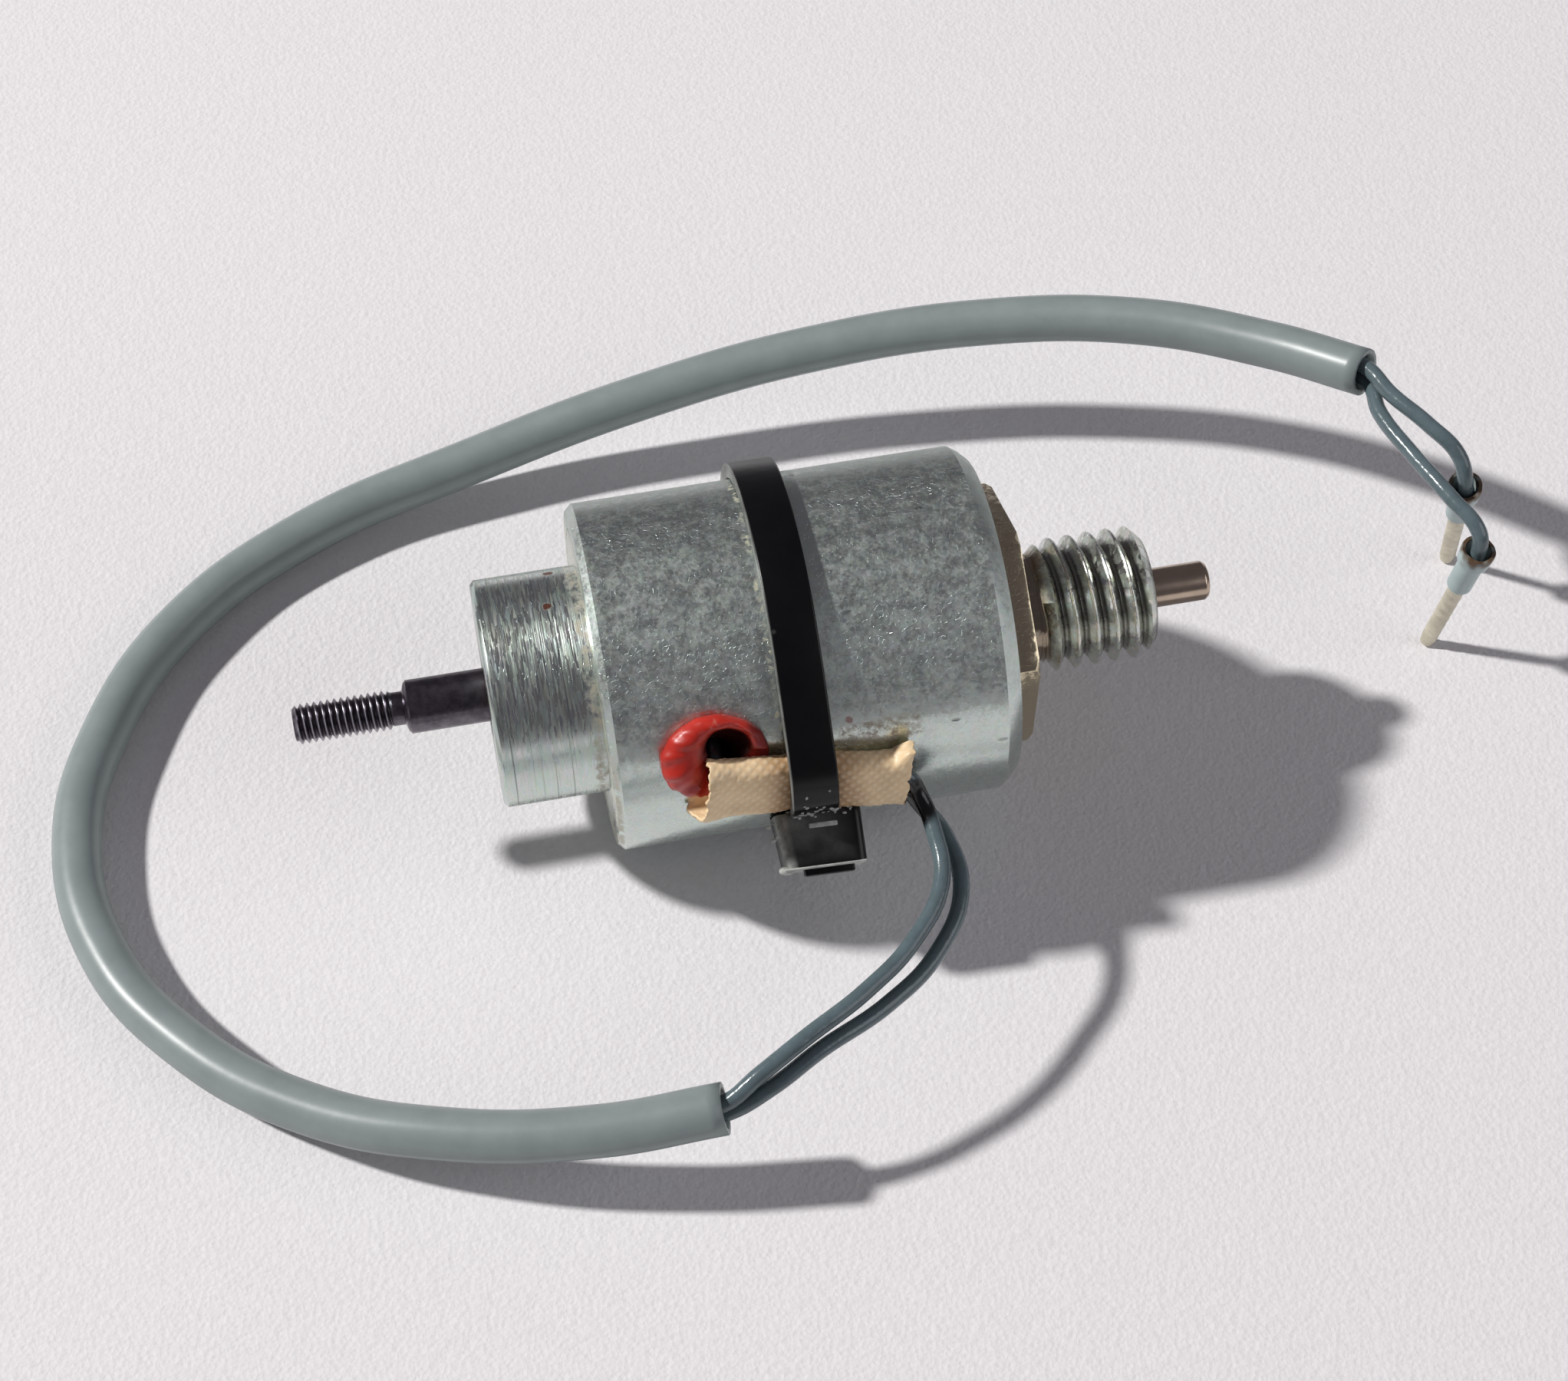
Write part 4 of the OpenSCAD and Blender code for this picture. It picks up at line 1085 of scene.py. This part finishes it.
class SOLENOID_OT_sleeve(bpy.types.Operator):
    """Rolls a woven sheet into the flattened sleeve, with its frayed ends"""

    bl_idname = "solenoid.sleeve"
    bl_label = "Woven sleeve"

    def execute(self, context):
        shape = bmesh.new()
        shape.loops.layers.uv.new("UVMap")
        bmesh.ops.create_grid(shape, x_segments=180, y_segments=140, size=0.5, calc_uvs=True)
        frame_place = on_side(SLEEVE_X, SLEEVE_ANGLE) @ Matrix.Rotation(-SLEEVE_SLANT, 4, "Z")
        layer = shape.verts.layers.float.new("wear_and_painted_light")
        for vert in shape.verts:
            place, vert[layer] = self.rolled(vert.co.x, vert.co.y)
            vert.co = frame_place @ (place * MM)
        bmesh.ops.remove_doubles(shape, verts=shape.verts, dist=0.002 * MM)
        bmesh.ops.recalc_face_normals(shape, faces=shape.faces)
        sleeve = piece("glass_sleeve_skin", shape, FIXED, "glass_fibre", ("glass_sleeve",),
                       angle=math.radians(80))
        wall = sleeve.modifiers.new("Wall", "SOLIDIFY")
        wall.thickness = 0.28 * MM
        wall.offset = -1
        return {"FINISHED"}

    def rolled(self, along, turn):
        """A place on the sleeve for a place on the flat sheet, each from -0.5 to 0.5."""
        size = sizes()
        length, half_width = size.sleeve_length / MM, size.sleeve_width / MM / 2
        u = along * length
        under_strap = math.exp(-((u - (TIE_X - SLEEVE_X) / MM) / 2.2) ** 2)
        left, right = smooth(-5.2, -7.4, u), smooth(5.6, 7.4, u)
        half_high = 1.0 - 0.3 * under_strap + 0.18 * left
        half_wide = half_width - 0.2 - 0.1 * smooth(0, 5, u)
        flat = half_wide - half_high
        around = turn * (4 * flat + 2 * math.pi * half_high)
        side = math.copysign(1, around)
        if abs(around) < flat:
            out, v, way = half_high, around, Vector((0, 0, 1))
        elif abs(around) < flat + math.pi * half_high:
            bend = (abs(around) - flat) / half_high
            out, v = half_high * math.cos(bend), side * (flat + half_high * math.sin(bend))
            way = Vector((0, side * math.sin(bend), math.cos(bend)))
        else:
            out, v, way = -half_high, side * (2 * flat + math.pi * half_high - abs(around)), Vector((0, 0, -1))
        weave = braid(u, around)
        place = Vector((u, v - 0.18 + 0.03 * u, 13.05 + half_high + out - v * v / 34))
        place += way * (0.045 * weave + 0.12 * noise.noise(Vector((u * 0.5, v * 0.7, out))))
        return place + self.frayed(u, v, out, way, left, right), weave

    def frayed(self, u, v, out, way, left, right):
        """Loose threads and turned lips at the two ends."""
        ragged = noise.noise(Vector((v * 1.3, out * 1.3, 9 if u > 0 else 3)))
        fine = noise.noise(Vector((v * 6, out * 6, 9 if u > 0 else 3)))
        move = Vector(((0.3 * ragged + 0.1 * fine) * (right - left), 0, 0))
        low = smooth(0.4, -1.6, v)
        move += Vector((-0.75, -0.15, -0.1)) * left * low * smooth(0.6, -0.6, out)
        move += way * left * (0.22 + 0.1 * ragged)
        spike = max(1 - abs(v - 2.2) / 0.75, 0) * smooth(6.0, 7.1, u)
        nib = math.exp(-((v + 2.35) / 0.35) ** 2) * smooth(6.4, 7.4, u)
        move += Vector((0.1, 1.0, 0.3)) * spike + Vector((0.15, -0.3, -0.1)) * nib
        return move


def smooth(start, end, value):
    """0 at start and before, 1 at end and past, smooth between, in either direction."""
    share = min(max((value - start) / (end - start), 0), 1)
    return share * share * (3 - 2 * share)


def braid(along, around, pitch=0.8):
    """Height, 0 to 1, of the crowns where two sets of yarns cross."""
    first, second = (along + around) / pitch, (along - around) / pitch
    return abs(math.sin(math.pi * first) * math.sin(math.pi * second))


class SOLENOID_OT_cable_tie(bpy.types.Operator):
    """Makes the cable tie: its strap, its head and the cut tail"""

    bl_idname = "solenoid.cable_tie"
    bl_label = "Cable tie"

    def execute(self, context):
        size = sizes()
        width, thick = size.strap_width / MM, size.strap_thickness / MM
        strap = turned(in_mm([
            (-width / 2, 13.05), (-width / 2, 13.05 + thick), (width / 2, 13.05 + thick),
            (width / 2, 13.05)]), steps=288)
        soften(strap, 0.18 * MM, 4)
        mark(strap, lambda place: 0.28 * smooth(0.1 - width / 2, 0.01 - width / 2, place.x / MM))
        for vert in strap.verts:
            vert.co = self.over_sleeve(vert.co)
        parts = self.head_parts()
        base = math.sqrt(13.1 ** 2 - 2.75 ** 2) * MM
        place = on_side(TIE_X + 0.4 * MM, HEAD_ANGLE) @ Matrix.Translation((0, HEAD_SHIFT - 0.4 * MM, base))
        place = place @ Matrix.Rotation(math.radians(-2), 4, "Y")
        for part in parts:
            bmesh.ops.transform(part, verts=part.verts, matrix=place)
        parts += (self.strap_crumbs(22, (13.05 + thick) * MM),)
        piece("cable_tie_skin", joined(strap, *parts), FIXED, "tie_plastic", ("cable_tie",))
        return {"FINISHED"}

    def head_parts(self):
        """The head, a pale box painted as the highlight in its slot, the torn lip, the tail's end and the crumbs at
        the entry.
        """
        head = box_shape((6.1, 4.4, 4.1), (0, 0, 2.05), 0)
        upright = [
            edge for edge in head.edges
            if edge.verts[0].co.y > 0 and edge.verts[1].co.y > 0 and abs(edge.verts[0].co.x - edge.verts[1].co.x) < MM
        ]
        for edges, width in ((upright[:1], 0.9), (upright[1:], 0.55)):
            bmesh.ops.bevel(head, geom=edges, offset=width * MM, offset_type="OFFSET", segments=4,
                            profile=0.5, affect="EDGES", material=-1)
        soften(head, 0.14 * MM, 3, math.radians(60))
        for vert in head.verts:
            if vert.co.x < 0:
                vert.co.x += 0.1 * (vert.co.z - 2 * MM)
            elif vert.co.z < MM:
                vert.co.z -= 0.6 * MM
        # Painted sheen: the head's left flank, toward the key lamp, is marked half pale.
        mark(head, lambda place: 0.5 * smooth(-1.9, -2.7, place.x / MM) * smooth(0.8, 1.4, place.y / MM))
        lip = mark(box_shape((6.0, 4.3, 0.16), (0, 0.06, 4.06), 0.06), 0.75)
        tail = mark(box_shape((3.7, 1.2, 0.9), (0.35, 0.4, 4.2), 0.15), 0.0)
        # Painted highlight: a small box in the slot, marked fully pale.
        slot_highlight = mark(box_shape((2.1, 0.34, 0.36), (0.15, 2.12, 1.1), 0.08), 1.0)
        blob = bmesh.new()
        bmesh.ops.create_icosphere(blob, subdivisions=3, radius=0.5 * MM)
        bmesh.ops.scale(blob, verts=blob.verts, vec=(1.3, 0.8, 0.7))
        bmesh.ops.translate(blob, verts=blob.verts, vec=(-2.75 * MM, 1.3 * MM, 4.05 * MM))
        crumbs = bmesh.new()
        chance = random.Random(5)
        for index in range(46):
            burr = index < 10
            x = -3.1 - 0.7 * chance.random() if burr else chance.uniform(-2.3, 2.4)
            y = chance.uniform(1.2, 1.9) if burr else chance.uniform(2.1, 2.5)
            z = chance.uniform(0.3, 2.2) if burr else chance.uniform(-0.2, 0.5)
            place = Matrix.Translation(Vector((x, y, z)) * MM) @ Matrix.Diagonal(
                Vector((chance.uniform(0.6, 1.8), 0.7, chance.uniform(0.6, 1.3), 1)))
            bmesh.ops.create_icosphere(crumbs, subdivisions=1, radius=chance.uniform(0.06, 0.15) * MM,
                                       matrix=place)
        return head, lip, tail, slot_highlight, mark(blob, 0.8), mark(crumbs, 0.8)

    def strap_crumbs(self, count, radius):
        """Torn crumbs on the strap's outside, where it enters the head."""
        crumbs = bmesh.new()
        chance = random.Random(11)
        for _ in range(count):
            turn = math.radians(chance.uniform(-2, 12))
            place = self.over_sleeve(Vector((
                chance.uniform(-1.2, 1.5) * MM, -radius * math.cos(turn), radius * math.sin(turn))))
            shape = Matrix.Translation(place) @ Matrix.Diagonal(
                Vector((chance.uniform(0.6, 1.7), 0.7, chance.uniform(0.6, 1.4), 1)))
            bmesh.ops.create_icosphere(crumbs, subdivisions=1, radius=chance.uniform(0.09, 0.16) * MM, matrix=shape)
        return mark(crumbs, 0.7)

    def over_sleeve(self, place):
        """Lifts the strap over the sleeve, with straight runs down to the housing on both sides."""
        radius = math.hypot(place.y, place.z)
        turn = math.atan2(place.z, -place.y) - SLEEVE_ANGLE
        turn = math.atan2(math.sin(turn), math.cos(turn))
        ramp_end, top = math.radians(35), 14.62
        lean = 13.05 / math.cos(max(ramp_end - abs(turn), 0))
        crown = top / math.cos(min(abs(turn), 1.2))
        lift = max(soft_least(lean, crown) - 13.05, 0) if abs(turn) < ramp_end else 0
        edge = 0.05 * noise.noise(Vector((turn * 9, place.x / MM * 0.5, 0)))
        level = math.degrees(turn + SLEEVE_ANGLE)
        if radius > 13.5 * MM:
            lift -= 0.7 * smooth(8, -4, level) * smooth(-60, -45, level)
        share = (radius + (lift + edge * smooth(0, 0.2, lift)) * MM) / radius
        return Vector((place.x + TIE_X, place.y * share, place.z * share))


def soft_least(first, second, width=0.8):
    """The lesser of two values, rounded where they meet."""
    share = min(max(0.5 + 0.5 * (second - first) / width, 0), 1)
    return second * (1 - share) + first * share - width * share * (1 - share)


def box_shape(size, middle, edge):
    """A box with rounded edges, all in millimetres."""
    shape = bmesh.new()
    bmesh.ops.create_cube(shape, size=1)
    bmesh.ops.scale(shape, verts=shape.verts, vec=[side * MM for side in size])
    bmesh.ops.translate(shape, verts=shape.verts, vec=Vector(middle) * MM)
    if edge:
        soften(shape, edge * MM, 3)
    return shape


class SOLENOID_OT_ferrules(bpy.types.Operator):
    """Makes the two ferrules, each a plastic collar on a crimped pin"""

    bl_idname = "solenoid.ferrules"
    bl_label = "Ferrules"

    def execute(self, context):
        for letter, (tip, rim) in (("a", FERRULE_A), ("b", FERRULE_B)):
            way = (rim - tip).normalized()
            level = way.cross(Vector((0, 0, 1))).normalized()
            facing = level.cross(way)
            if letter == "b":
                level, facing = facing, -level
            place = Matrix((way, level, facing)).transposed().to_4x4()
            place.translation = tip * MM
            pin = turned(in_mm([
                (0, 0), (0, 0.42), (0.15, 0.55), (PIN_LENGTH - 0.3, 0.575), (PIN_LENGTH + 1.1, 0.575),
                (PIN_LENGTH + 1.1, 0)]), steps=32, closed=False)
            bmesh.ops.subdivide_edges(
                pin, edges=[edge for edge in pin.edges if edge.calc_length() > 3 * MM], cuts=70,
                use_grid_fill=True)
            for vert in pin.verts:
                vert.co = place @ self.crimped(vert.co / MM)
            piece("ferrule_pin_" + letter + "_skin", pin, FIXED, "tinned_copper",
                  ("ferrule_pin_" + letter,), angle=math.radians(50))
            low = PIN_LENGTH
            collar = turned(in_mm([
                (low, 0.62), (low, 0.93), (low + 0.15, 1.0), (low + 3.1, 1.02), (low + 3.7, 1.28),
                (low + 4.1, 1.31), (low + 4.5, 1.34), (low + 4.8, 1.35), (low + 5.05, 1.36),
                (low + 5.2, 1.3), (low + 5.15, 1.05), (low + 4.6, 1.02), (low + 3.8, 0.95),
                (low + 3.4, 0.85), (low + 1.3, 0.85), (low + 1.25, 0.62)]), steps=64)
            mark(collar, lambda place: smooth(
                low + 4.2, low + 5.2, place.x / MM + 0.8 * noise.noise(place / MM * 1.9)))
            for vert in collar.verts:
                ragged = noise.noise(vert.co / MM * 1.7 + Vector((0, 0, ord(letter))))
                if vert.co.x > (low + 4.5) * MM:
                    vert.co.x += 0.16 * ragged * MM
                vert.co = place @ vert.co
            piece("ferrule_collar_" + letter + "_skin", collar, FIXED, "ferrule_plastic",
                  ("ferrule_collar_" + letter,), angle=math.radians(50))
        return {"FINISHED"}

    def crimped(self, place):
        """A point of the round pin on the flattened one with its rows of crimp marks."""
        flat = smooth(0.2, 0.8, place.x) * smooth(PIN_LENGTH, PIN_LENGTH - 0.9, place.x)
        marks = 0.5 + 0.5 * math.cos(2 * math.pi * place.x / 1.05)
        thin = 1 - flat * (0.28 + 0.16 * marks ** 3)
        wide = 1 + flat * (0.16 + 0.04 * marks)
        return Vector((place.x, place.y * wide, place.z * thin)) * MM


class SOLENOID_OT_inner(bpy.types.Operator):
    """Gives the pieces inside the housing, and the other plain solids, their finishes"""

    bl_idname = "solenoid.inner"
    bl_label = "Inner pieces"

    def execute(self, context):
        hidden = {name for name in frame["nodes"]}
        finishes = {entry["node"]: entry["material_slot"] for entry in frame["record"]["subparts"]}
        swap = {"pole_steel": "thread_steel"}
        for name in hidden:
            node = frame["nodes"][name]
            kind = finishes[name]
            node.data.materials.clear()
            node.data.materials.append(finish(swap.get(kind, kind)))
        return {"FINISHED"}


class SOLENOID_PT_panel(bpy.types.Panel):
    """Lists the pieces and their sizes in the sidebar"""

    bl_label = "Solenoid"
    bl_idname = "SOLENOID_PT_panel"
    bl_space_type = "VIEW_3D"
    bl_region_type = "UI"
    bl_category = "Solenoid"

    def draw(self, context):
        for operator in OPERATORS:
            self.layout.operator(operator.bl_idname)
        for group in (context.scene.solenoid_sizes, context.scene.solenoid_colours):
            for name in group.bl_rna.properties.keys():
                if name not in ("rna_type", "name"):
                    self.layout.prop(group, name)


OPERATORS = (
    SOLENOID_OT_stage,
    SOLENOID_OT_ferrules,
    SOLENOID_OT_cords,
    SOLENOID_OT_housing,
    SOLENOID_OT_nose,
    SOLENOID_OT_rod,
    SOLENOID_OT_grommet,
    SOLENOID_OT_sleeve,
    SOLENOID_OT_cable_tie,
    SOLENOID_OT_inner,
)
CLASSES = (SolenoidSizes, SolenoidColours) + OPERATORS + (SOLENOID_PT_panel,)


def register():
    for cls in CLASSES:
        bpy.utils.register_class(cls)
    bpy.types.Scene.solenoid_sizes = PointerProperty(type=SolenoidSizes)
    bpy.types.Scene.solenoid_colours = PointerProperty(type=SolenoidColours)


def unregister():
    del bpy.types.Scene.solenoid_colours
    del bpy.types.Scene.solenoid_sizes
    for cls in reversed(CLASSES):
        bpy.utils.unregister_class(cls)


def main():
    """Registers the add-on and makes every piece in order."""
    register()
    for operator in OPERATORS:
        family, name = operator.bl_idname.split(".")
        getattr(getattr(bpy.ops, family), name)()


if __name__ == "__main__":
    main()
